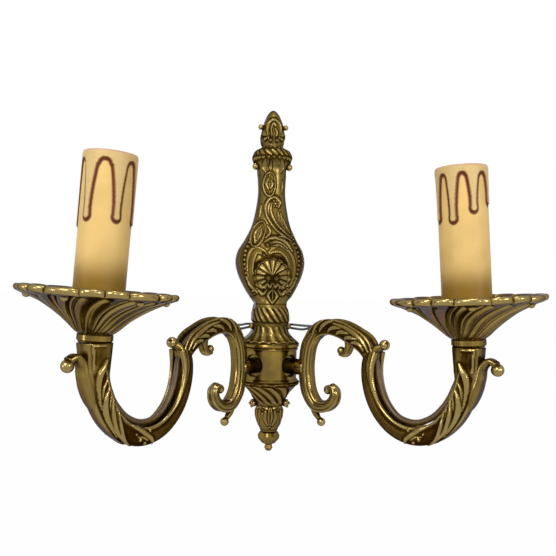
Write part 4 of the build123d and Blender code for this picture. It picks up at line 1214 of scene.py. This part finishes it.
    def carve_frame(self, board: Relief) -> None:
        """C-scroll frame round the shell, with its crest and pendant."""
        for rows in (self.frame_left, self.frame_right):
            board.stroke([(a, b, 1.28 * half) for a, b, half in rows], 1.1)
            board.stroke([(a, b, 0.72 * half) for a, b, half in rows], -0.55, add=True)
        for side in (-1, 1):
            board.sided(side, ((17.6, -13.5, 0.5), (14.2, -20.0, 1.0), (10.4, -24.0, 0.9)), 1.0)
            board.sided(side, ((9.6, -22.6, 1.0), (6.4, -24.8, 1.5), (4.2, -22.6, 1.0)), 1.7)
            board.sided(side, ((0.4, -22.2, 0.7), (3.0, -25.4, 1.3), (0.4, -30.8, 0.5)), 1.4)
            for a, b, size in self.frame_beads:
                board.bead(side * a, b, size, 1.5)
        board.stroke([(0.2, -20.8, 0.9), (0.2, -26.4, 1.4), (0.2, -31.2, 0.5)], 1.9, Profile.RIDGE)
        board.bead(-6.2, 1.5, 1.5, 2.2)
        board.bead(-3.8, 8.5, 1.7, 2.2)
        for rows in self.crest_leaves:
            board.stroke(rows, 1.5)

    def carve_neck(self, board: Relief) -> None:
        """Drop, oval leaf medallion, S-scroll with flower, and side ovals of the neck."""
        board.stroke([(-1.9, 65.8, 0.6), (-1.9, 62.6, 1.4), (-1.9, 60.2, 0.8)], 1.3)
        for side in (-1, 1):
            board.sided(side, ((6.2, 66.6, 1.0), (6.2, 62.6, 1.7), (5.2, 58.6, 0.5)), 0.7)
        turns = np.linspace(0, math.tau, 17)
        oval = [(-2.4 + 4.2 * math.sin(a), 50.4 + 8.2 * math.cos(a), 0.7) for a in turns]
        board.stroke(oval, 0.9)
        for lean, low, high in ((-1.9, 45.4, 56.0), (0.1, 43.6, 57.4), (2.1, 46.4, 54.5)):
            board.stroke([(-2.6, low, 0.4), (-2.5 + lean, (low + high) / 2, 1.0), (-2.6, high, 0.4)], 0.9)
        for k in range(4):
            board.bead(-2.5, 46.4 + 2.7 * k, 0.75, 1.3)
        board.stroke(self.neck_scroll, 1.3)
        board.stroke(self.neck_vein, 0.9)
        x, z = self.flower
        board.bead(x, z, 1.5, 1.6)
        for a in range(6):
            turn = math.tau * a / 6
            board.bead(x + 2.1 * math.cos(turn), z + 2.1 * math.sin(turn), 0.95, 1.0)
        for rows in self.neck_leaves:
            board.stroke(rows, 0.8)
        x, z = self.lower_oval
        tilt = 0.26
        ring = []
        for a in turns:
            high = z + 8.8 * math.cos(a)
            ring.append((x + 4.3 * math.sin(a) + tilt * (high - z), high, 0.65))
        board.stroke(ring, 0.9)
        for lean in (-1.7, 0.1, 1.8):
            board.stroke([(-11.8, 9.6, 0.5), (x + lean, z, 1.0), (-8.0, 21.8, 0.4)], 0.9)
        for k in range(4):
            board.bead(-11.2 + 0.8 * k, 11.4 + 3.0 * k, 0.7, 1.2)

    def carve_bud(self, board: Relief) -> None:
        """Arched leaf, its side curls and the row of beads round the flame bud."""
        board.stroke(self.bud_arch, 1.2)
        board.stroke([(-1.6, 84.0, 0.7), (-1.8, 89.6, 1.0), (-0.2, 92.8, 0.9), (1.2, 91.0, 0.8)], 1.1)
        board.stroke([(1.6, 83.0, 0.6), (1.9, 86.6, 0.9), (0.8, 88.8, 0.7)], 0.9)
        for side in (-1, 1):
            rows = ((4.0, 82.4, 0.9), (7.0, 86.2, 1.5), (7.4, 90.4, 1.2))
            board.sided(side, rows, 1.2)
            board.bead(side * 5.6, 82.4, 1.4, 1.5)
            board.bead(side * 2.3, 81.2, 1.4, 1.5)

    def behind(self) -> tuple[Array, list]:
        """Faces of the construction's casting that lie at the wall, in the hollow and at the foot."""
        mesh = frame["nodes"]["pillar_casting"].data
        points = np.array([v.co for v in mesh.vertices]) / MM
        rows = np.array(self.outline)
        rows = rows[np.argsort(rows[:, 0])]
        height, reach, depth = self.notch
        slack = 0.05
        kept = []
        for face in mesh.polygons:
            x, y, z = points[list(face.vertices)].mean(axis=0)
            half = np.interp(z, rows[:, 0], rows[:, 1]) - self.skin
            deep = np.interp(z, rows[:, 0], rows[:, 2]) - self.skin
            bulge = min(half, deep - 0.5)
            front = 0.0
            if abs(x) < half:
                front = deep - bulge + bulge * math.sqrt(max(0.0, 1 - (x / half) ** 2))
            at_slot = abs(z - height) < reach + slack and -y < depth + slack and abs(x) > self.notch_side
            at_end = y > -self.end_slack or z < rows[0, 0] + self.end_slack
            if at_end or at_slot or -y < front:
                kept.append(tuple(face.vertices))
        used = sorted({i for face in kept for i in face})
        place = {old: new for new, old in enumerate(used)}
        return points[used], [[place[i] for i in face] for face in kept]

    def build(self, brass: bpy.types.Material) -> bpy.types.Object:
        """Make the pillar in place of its node, with the construction's own back."""
        points, half, angle = self.grid(0.34, 260)
        board = Relief(points[..., 0], points[..., 2])
        self.carve(board, half, angle)
        facing = np.clip(np.sin(angle) * 1.6 + 0.12, 0, 1)
        height, reach, depth = self.notch
        slot = (np.abs(points[..., 2] - height) < reach) & (points[..., 1] > -depth)
        live = np.clip(board.height / 0.6, 0, 1)
        made = Shape()
        made.add_grid(
            points,
            relief=board.height * facing,
            stain_and_shade=np.clip(board.stain_and_shade, 0, 1) * facing * (1 - 0.8 * live) + self.grime,
            keep=~slot,
        )
        made.add_faces(*self.behind())
        for x, y, z, r in self.knobs:
            for side in (-1, 1):
                made.add_ball((side * x, y, z), r)
        piece = made.build("pillar_relief")
        piece.data.materials.append(brass)
        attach(piece, "root")
        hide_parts("pillar_casting")
        return piece


@dataclass
class LowerCone:
    """Cone with twisted flutes, side knobs and a leaf bud."""

    outline: tuple = (
        (18.0, -82.8), (19.6, -83.0), (20.0, -84.0), (17.6, -86.4), (14.3, -89.9), (11.2, -95.1),
        (9.2, -98.4), (8.8, -99.8), (9.7, -103.0), (9.5, -107.6), (7.6, -112.6), (6.2, -115.2),
        (5.6, -116.8),
    )
    flutes: float = 6.5
    flute_twist: float = 1.0
    leaves: int = 5
    knob: tuple = (10.8, -98.3, 2.6)
    # Beads that curl each knob: angle from below and distance from its centre
    knob_curl: tuple = ((0.5, 2.4), (1.6, 2.3), (2.7, 2.0))

    def build(self, brass: bpy.types.Material) -> bpy.types.Object:
        """Make the cone's outside in place of its node."""
        points = turned_grid(self.outline, 0.3, 420)
        z = points[..., 2]
        theta = np.arctan2(points[..., 0], -points[..., 1])
        arc = theta * np.hypot(points[..., 0], points[..., 1])
        board = Relief(arc, z)
        t = np.clip((-84.0 - z) / 13.5, 0, 1)
        wave = np.abs(np.sin((theta - self.flute_twist * t) * self.flutes))
        inside = np.clip((-85.6 - z) / 1.2, 0, 1) * np.clip((z + 98.4) / 1.6, 0, 1)
        board.height = inside * (wave**0.65 - 0.6) * (1.9 - 0.8 * t)
        board.stain_and_shade = inside * 0.75 * np.clip(1 - wave * 1.7, 0, 1)
        edge = -84.9 + 0.9 * wave
        board.height += 0.8 * np.exp(-(((z - edge) / 0.42) ** 2))
        board.stain_and_shade += 0.6 * np.exp(-(((z - edge + 1.0) / 0.35) ** 2))
        for place in (-99.4, -115.4):
            ring = np.exp(-(((z - place) / 0.45) ** 2))
            board.height -= 0.5 * ring
            board.stain_and_shade += 0.8 * ring
        for k in range(self.leaves):
            turn = (math.tau * k / self.leaves + math.pi) % math.tau - math.pi
            leaf = [(turn * 8.6, -101.2, 1.5), (turn * 9.6, -106.0, 2.2), (turn * 9.2, -111.5, 1.3)]
            board.stroke(leaf, 1.3, Profile.LEAF)
            for lean in (-0.36, 0.36):
                side_leaf = [((turn + lean) * 8.8, -102.6, 0.8), ((turn + lean) * 9.6, -107.4, 1.3)]
                side_leaf.append(((turn + 0.5 * lean) * 8.4, -112.2, 0.5))
                board.stroke(side_leaf, 0.8)
            board.bead(turn * 8.6, -113.2, 0.9, 1.0)
            board.bead((turn + math.pi / self.leaves) * 9.0, -101.8, 1.0, 1.1)
        made = Shape()
        made.add_grid(points, closed=True, relief=board.height, stain_and_shade=np.clip(board.stain_and_shade, 0, 1), flip=True)
        aside, height, radius = self.knob
        for side in (-1, 1):
            made.add_ball((side * aside, 0, height), radius)
            for turn, reach in self.knob_curl:
                place = (side * (aside + reach * math.sin(turn)), -1.2, height - reach * math.cos(turn))
                made.add_ball(place, 0.95)
        move = by_matrix(Matrix.Translation((0, -HUB_DEPTH, 0)))
        shape = made.moved(lambda p: np.minimum(move(p), (1e9, -0.05, 1e9)))
        piece = shape.build("cone_casting")
        piece.data.materials.append(brass)
        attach(piece, "root")
        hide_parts("lower_cone")
        return piece


# Drips of each sleeve: angle in degrees from the front, drip end below the rim, and half width
DRIPS = {
    Side.LEFT: (
        (-140.0, 33.0, 2.8), (-88.0, 40.0, 2.8), (-35.0, 36.0, 2.6), (32.0, 36.0, 2.5),
        (88.0, 37.0, 2.7), (134.0, 27.0, 2.7), (178.0, 38.0, 2.9),
    ),
    Side.RIGHT: (
        (-134.0, 24.0, 2.7), (-88.0, 30.0, 2.7), (-43.0, 31.0, 2.5), (4.0, 26.0, 2.5),
        (53.0, 22.0, 2.6), (88.0, 19.0, 2.5), (128.0, 29.0, 2.7), (176.0, 35.0, 2.9),
    ),
}


@dataclass
class CandleSleeve:
    """Plastic candle cover with moulded drips."""

    # Rows of angle in degrees from the front, drip end below the rim, and half width
    drips: tuple
    radius: float = 13.5
    wall: float = 1.5
    foot: float = -14.0
    length: float = 85.0
    proud: float = 0.8
    band: float = 4.6
    tip_share: float = 0.80
    gap_share: float = 0.52
    outline_width: float = 0.95
    foot_reach: tuple = (3.0, 19.0)
    columns: int = 424
    # How far below the rim the fine rows of the drips begin
    drip_zone: float = 47.0

    def covered(self, degrees: Array, height: Array, top: float) -> Array:
        """Mask of what the moulded drips cover, by angle and height."""
        z = height[:, None]
        order = sorted(self.drips)
        middles = [row[0] for row in order]
        spans = np.diff([*middles, middles[0] + 360.0])
        per_degree = math.radians(1) * self.radius
        arch_top = top - self.band
        found = np.zeros((len(height), len(degrees)), bool)
        found |= z > arch_top
        for k, (middle, run, half) in enumerate(order):
            off = ((degrees - middle + 180) % 360 - 180)[None] * per_degree
            tip = self.tip_share * half
            low = top - run
            rise = z - low
            share = np.clip((rise - tip) / (arch_top - low - tip), 0, 1)
            round_end = np.sqrt(np.clip(tip**2 - (tip - np.minimum(rise, tip)) ** 2, 0, None))
            neck = tip * (1 - 0.16 * np.clip((rise - tip) / (1.8 * tip), 0, 1))
            for hand, span in ((-1, spans[k - 1]), (1, spans[k])):
                reach = span * per_degree / 2
                gap = max(0.9, self.gap_share * (reach - tip))
                width = np.where(rise < tip, round_end, neck + (reach - gap - 0.84 * tip) * share**1.9)
                found |= (rise > 0) & (off * hand >= 0) & (off * hand < width)
                from_middle = reach - off * hand
                cap = arch_top - gap + np.sqrt(np.clip(gap**2 - from_middle**2, 0, None))
                found |= (off * hand > 0) & (from_middle > -0.05) & (z > cap) & (z > arch_top - gap)
        return found

    def build(self, side: Side, cream: bpy.types.Material) -> bpy.types.Object:
        """Make one sleeve in place of its node."""
        top = self.foot + self.length
        around, step = self.columns, 0.2
        start = top - self.drip_zone
        theta = np.linspace(-math.pi, math.pi, around, endpoint=False)
        pitch = math.tau * self.radius / around
        rows = np.r_[np.arange(self.foot, start, 1.5), np.arange(start, top - 0.1, step)]
        z = rows[:, None] * np.ones_like(theta)
        square = np.arange(start - 3.0, top + 1.0, pitch)
        covered = self.covered(np.degrees(theta), square, top)
        gap = self.distance(covered, pitch)
        place = (z - square[0]) / pitch
        low = np.clip(np.floor(place).astype(int), 0, len(square) - 2)
        share = np.clip(place - low, 0, 1)
        columns = np.arange(around)[None]
        signed = gap[low, columns] * (1 - share) + gap[low + 1, columns] * share
        signed = np.where(z < square[0] + 5.0, -9.0, signed)
        swell = np.clip(signed / 1.1, 0, 1)
        rise = np.sqrt(np.clip(1 - (1 - swell) ** 2, 0, 1))
        r = self.radius + self.proud * rise
        shoulder = np.clip((z - top + 1.8) / 1.8, 0, 1)
        r = r - 1.0 * (1 - np.sqrt(1 - shoulder**2 * 0.98))
        inner = self.radius - self.wall
        bare = (signed < 0.1) * (z > square[0] + 5.0)
        # Bare plastic just below and beside a drip gets a heavier outline: a painted shadow of the proud
        # drip
        over = np.zeros_like(z)
        for lift in range(1, 9):
            over += np.roll((signed > 0).astype(float), -lift, axis=0)
        drip_shadow = box_blur(np.clip(over / 4.0, 0, 1) * bare, 2, True)
        reach = self.outline_width * (1 + 1.2 * drip_shadow)
        stain_and_shade = np.clip(1.35 - np.abs(signed + 0.20 + 0.35 * drip_shadow) / reach, 0, 1)
        rim = np.clip((z - top + 1.5) / 1.0, 0, 1)

        def lined(values: Array, ends: tuple) -> Array:
            """Add the sleeve's inner rows to a grid of its outer ones."""
            extra = [np.full((1, around), float(value)) for value in ends]
            return np.concatenate([extra[0], values, *extra[1:]])

        r = lined(r, (inner, inner + 0.3, inner, inner, inner))
        z = lined(z, (self.foot, top, top - 0.5, top - 30, self.foot))
        points = np.stack([r * np.sin(theta), -r * np.cos(theta), z], axis=-1)
        made = Shape()
        made.add_grid(points, closed=True, flip=True)
        made.hollow = [lined(stain_and_shade * (1 - rim), (0, 0, 0, 0, 0)).ravel()]
        low, high = self.foot_reach
        dull = np.clip((high - z[1:-4]) / (high - low), 0, 1)
        dull = dull * dull * (3 - 2 * dull)
        made.ground = [lined(np.clip(signed / 0.9, 0, 1) - dull, (-1, 1, 1, 0, 0)).ravel()]
        made.ridge = [lined(rim, (0, 1, 0.6, 0, 0)).ravel()]
        piece = made.moved(by_matrix(candle_matrix(side))).build(f"candle_cover_{side.word}")
        piece.data.materials.append(cream)
        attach(piece, f"sleeve_{side.word}")
        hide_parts(f"candle_sleeve_{side.word}")
        return piece

    def distance(self, covered: Array, pitch: float) -> Array:
        """Signed distance in millimetres to the edge of the drips, positive inside them."""
        far, limit = 9.0, 4.0
        found = np.where(covered, far, -far)
        reach = int(limit / pitch)
        for dy in range(-reach, reach + 1):
            for dx in range(-reach, reach + 1):
                length = math.hypot(dx, dy) * pitch
                if not 0 < length < limit:
                    continue
                other = np.roll(np.roll(covered, dy, axis=0), dx, axis=1)
                differs = other != covered
                differs[: max(dy, 0)] = False
                differs[len(differs) + min(dy, 0) :] = False
                near = length - 0.5 * pitch
                found = np.where(differs & covered, np.minimum(found, near), found)
                found = np.where(differs & ~covered, np.maximum(found, -near), found)
        return found


# Studio and camera


@dataclass
class Studio:
    """Pale floor, soft lights and the camera of the reference view."""

    # Places and sizes in metres, angles in degrees and the lens in millimetres
    camera_place: tuple = (-0.0409, -0.4821, -0.0235)
    yaw: float = -5.56
    pitch: float = 1.16
    roll: float = 1.16
    lens: float = 44.53
    floor_height: float = -0.42
    fill: float = 0.17
    floor_reach: float = 40.0
    floor_tone: float = 0.86
    floor_white: float = 0.985
    # Rows of a lamp's place, size and power in watts
    lamps: tuple = (
        ((-0.48, -0.86, 0.48), 0.46, 6.0),
        ((0.66, -0.80, 0.16), 0.24, 2.9),
        ((0.05, -0.35, 0.95), 0.26, 3.2),
        ((-0.90, -0.55, 0.00), 0.16, 1.4),
        ((0.20, -1.05, 0.08), 0.09, 1.0),
        ((0.25, -0.60, -0.75), 0.26, 1.2),
    )
    aim: tuple = (0.0, -0.06, -0.02)

    def camera(self) -> None:
        """Set the camera at the reference view."""
        data = bpy.data.cameras.new("camera")
        data.sensor_width = 36.0
        data.lens = self.lens
        yaw, pitch, roll = (math.radians(a) for a in (self.yaw, self.pitch, self.roll))
        right = Vector((math.cos(yaw), math.sin(yaw), 0))
        ahead = Vector((-math.sin(yaw) * math.cos(pitch), math.cos(yaw) * math.cos(pitch), math.sin(pitch)))
        up = right.cross(ahead)
        across = right * math.cos(roll) + up * math.sin(roll)
        upward = up * math.cos(roll) - right * math.sin(roll)
        matrix = Matrix((across, upward, -ahead)).transposed().to_4x4()
        matrix.translation = self.camera_place
        thing = bpy.data.objects.new("camera", data)
        thing.matrix_world = matrix
        bpy.context.scene.collection.objects.link(thing)
        bpy.context.scene.camera = thing

    def seen(self, nodes: NodeTree) -> bpy.types.NodeSocket:
        """Mask of the rays that show the white background."""
        path = nodes.node("ShaderNodeLightPath")
        both = nodes.math("MAXIMUM", path.outputs["Is Camera Ray"], path.outputs["Is Glossy Ray"])
        return nodes.math("MAXIMUM", both, path.outputs["Is Transmission Ray"])

    def world(self) -> None:
        """White background for the rays that see it, and a soft even light for the rest."""
        world = bpy.data.worlds.new("studio")
        bpy.context.scene.world = world
        world.use_nodes = True
        nodes = NodeTree(world.node_tree)
        base = world.node_tree.nodes["Background"]
        base.inputs["Color"].default_value = (1, 1, 1, 1)
        strength = nodes.span(self.seen(nodes), 0.0, 1.0, (self.fill, 1.0))
        nodes.link(strength, base.inputs["Strength"])

    def floor(self) -> None:
        """Pale floor that keeps a soft shadow."""
        mesh = bpy.data.meshes.new("floor")
        r, z = self.floor_reach, self.floor_height
        mesh.from_pydata([(-r, -r, z), (r, -r, z), (r, r, z), (-r, r, z)], [], [(0, 1, 2, 3)])
        thing = bpy.data.objects.new("floor", mesh)
        bpy.context.scene.collection.objects.link(thing)
        paint = bpy.data.materials.new("floor_paint")
        paint.use_nodes = True
        nodes = NodeTree(paint.node_tree)
        shader = paint.node_tree.nodes["Principled BSDF"]
        shader.inputs["Base Color"].default_value = (*[self.floor_tone] * 3, 1)
        shader.inputs["Roughness"].default_value = 0.8
        glow = nodes.node("ShaderNodeEmission")
        glow.inputs["Color"].default_value = (1, 1, 1, 1)
        blend = nodes.node("ShaderNodeMixShader")
        nodes.link(nodes.math("MULTIPLY", self.seen(nodes), self.floor_white), blend.inputs[0])
        nodes.link(shader.outputs[0], blend.inputs[1])
        nodes.link(glow.outputs[0], blend.inputs[2])
        nodes.link(blend.outputs[0], paint.node_tree.nodes["Material Output"].inputs["Surface"])
        mesh.materials.append(paint)

    def lights(self) -> None:
        """Soft lamps above and beside the camera."""
        for k, (place, size, power) in enumerate(self.lamps):
            data = bpy.data.lights.new(f"softbox_{k}", "AREA")
            data.shape = "DISK"
            data.size = size
            data.energy = power
            thing = bpy.data.objects.new(f"softbox_{k}", data)
            thing.location = place
            aim = Vector(self.aim) - Vector(place)
            thing.rotation_euler = aim.to_track_quat("-Z", "Y").to_euler()
            bpy.context.scene.collection.objects.link(thing)

    def build(self) -> None:
        """Make the whole studio."""
        self.camera()
        self.world()
        self.floor()
        self.lights()
        bpy.context.scene.view_settings.view_transform = "Standard"


class Wardrobe:
    """All finishes, made once, and the finish of each of the frame's nodes."""

    def __init__(self) -> None:
        """Make every finish."""
        masks = patina_and_shade_group()
        self.arm_brass = BrassFinish("brass_arm", metal=(0.185, 0.118, 0.019)).material(masks)
        # The pans get a lighter copy of the arm brass: a painted highlight for their paler look
        self.pan_brass = BrassFinish("brass_pan", metal=(0.22, 0.145, 0.028)).material(masks)
        self.pillar_brass = BrassFinish(
            "brass_pillar", metal=(0.165, 0.110, 0.018), tint=(0.135, 0.092, 0.014), roughness=0.26
        ).material(masks)
        self.cone_brass = BrassFinish("brass_cone", metal=(0.19, 0.112, 0.020)).material(masks)
        self.turned_brass = BrassFinish(
            "brass_turned", metal=(0.23, 0.152, 0.026), dirt=0.4, roughness=0.18
        ).material(masks)
        self.steel = PlainFinish(
            "zinc_steel", (0.55, 0.54, 0.50), (0.42, 0.41, 0.38), 0.35, 1.0
        ).material()
        self.bakelite = PlainFinish(
            "holder_moulding", (0.035, 0.028, 0.022), (0.05, 0.04, 0.03), 0.35
        ).material()
        self.terminal = PlainFinish(
            "terminal_moulding", (0.78, 0.76, 0.68), (0.70, 0.67, 0.58), 0.5
        ).material()
        # Gold-brown flex darkened to a painted shade, for the shadow it lies in inside the gutter
        self.sheath = PlainFinish(
            "flex_sheath", (0.12, 0.066, 0.014), (0.085, 0.045, 0.010), 0.3
        ).material()
        self.cores = PlainFinish(
            "core_sheath", (0.16, 0.20, 0.23), (0.12, 0.15, 0.17), 0.4
        ).material()
        self.shell = BrassFinish("brass_shell", metal=(0.60, 0.46, 0.2), roughness=0.25).material(masks)
        self.cream = CandleFinish().material()

    def dress_nodes(self) -> None:
        """Give every node of the frame the finish of its slot."""
        by_slot = {
            "antique_brass": self.turned_brass,
            "shell_brass": self.shell,
            "zinc_steel": self.steel,
            "holder_plastic": self.bakelite,
            "terminal_plastic": self.terminal,
            "flex_cover": self.sheath,
            "core_cover": self.cores,
            "candle_plastic": self.cream,
        }
        slots = {row["node"]: row["material_slot"] for row in frame["record"]["subparts"]}
        for name, node in frame["nodes"].items():
            node.data.materials.clear()
            node.data.materials.append(by_slot[slots[name]])


def main() -> None:
    """Build the studio and every piece, in order."""
    logging.basicConfig(level=logging.INFO, format="%(name)s: %(message)s")
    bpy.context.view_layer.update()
    Studio().build()
    wardrobe = Wardrobe()
    wardrobe.dress_nodes()
    pieces = [Pillar().build(wardrobe.pillar_brass), LowerCone().build(wardrobe.cone_brass)]
    arm, pan = Arm(), DripPan()
    for side in Side:
        pieces.append(arm.build(side, wardrobe.arm_brass))
        pieces.append(pan.build(side, wardrobe.pan_brass))
        pieces.append(CandleSleeve(DRIPS[side]).build(side, wardrobe.cream))
    for piece in pieces:
        LOG.info("%s has %d points", piece.name, len(piece.data.vertices))


if __name__ == "__main__":
    main()
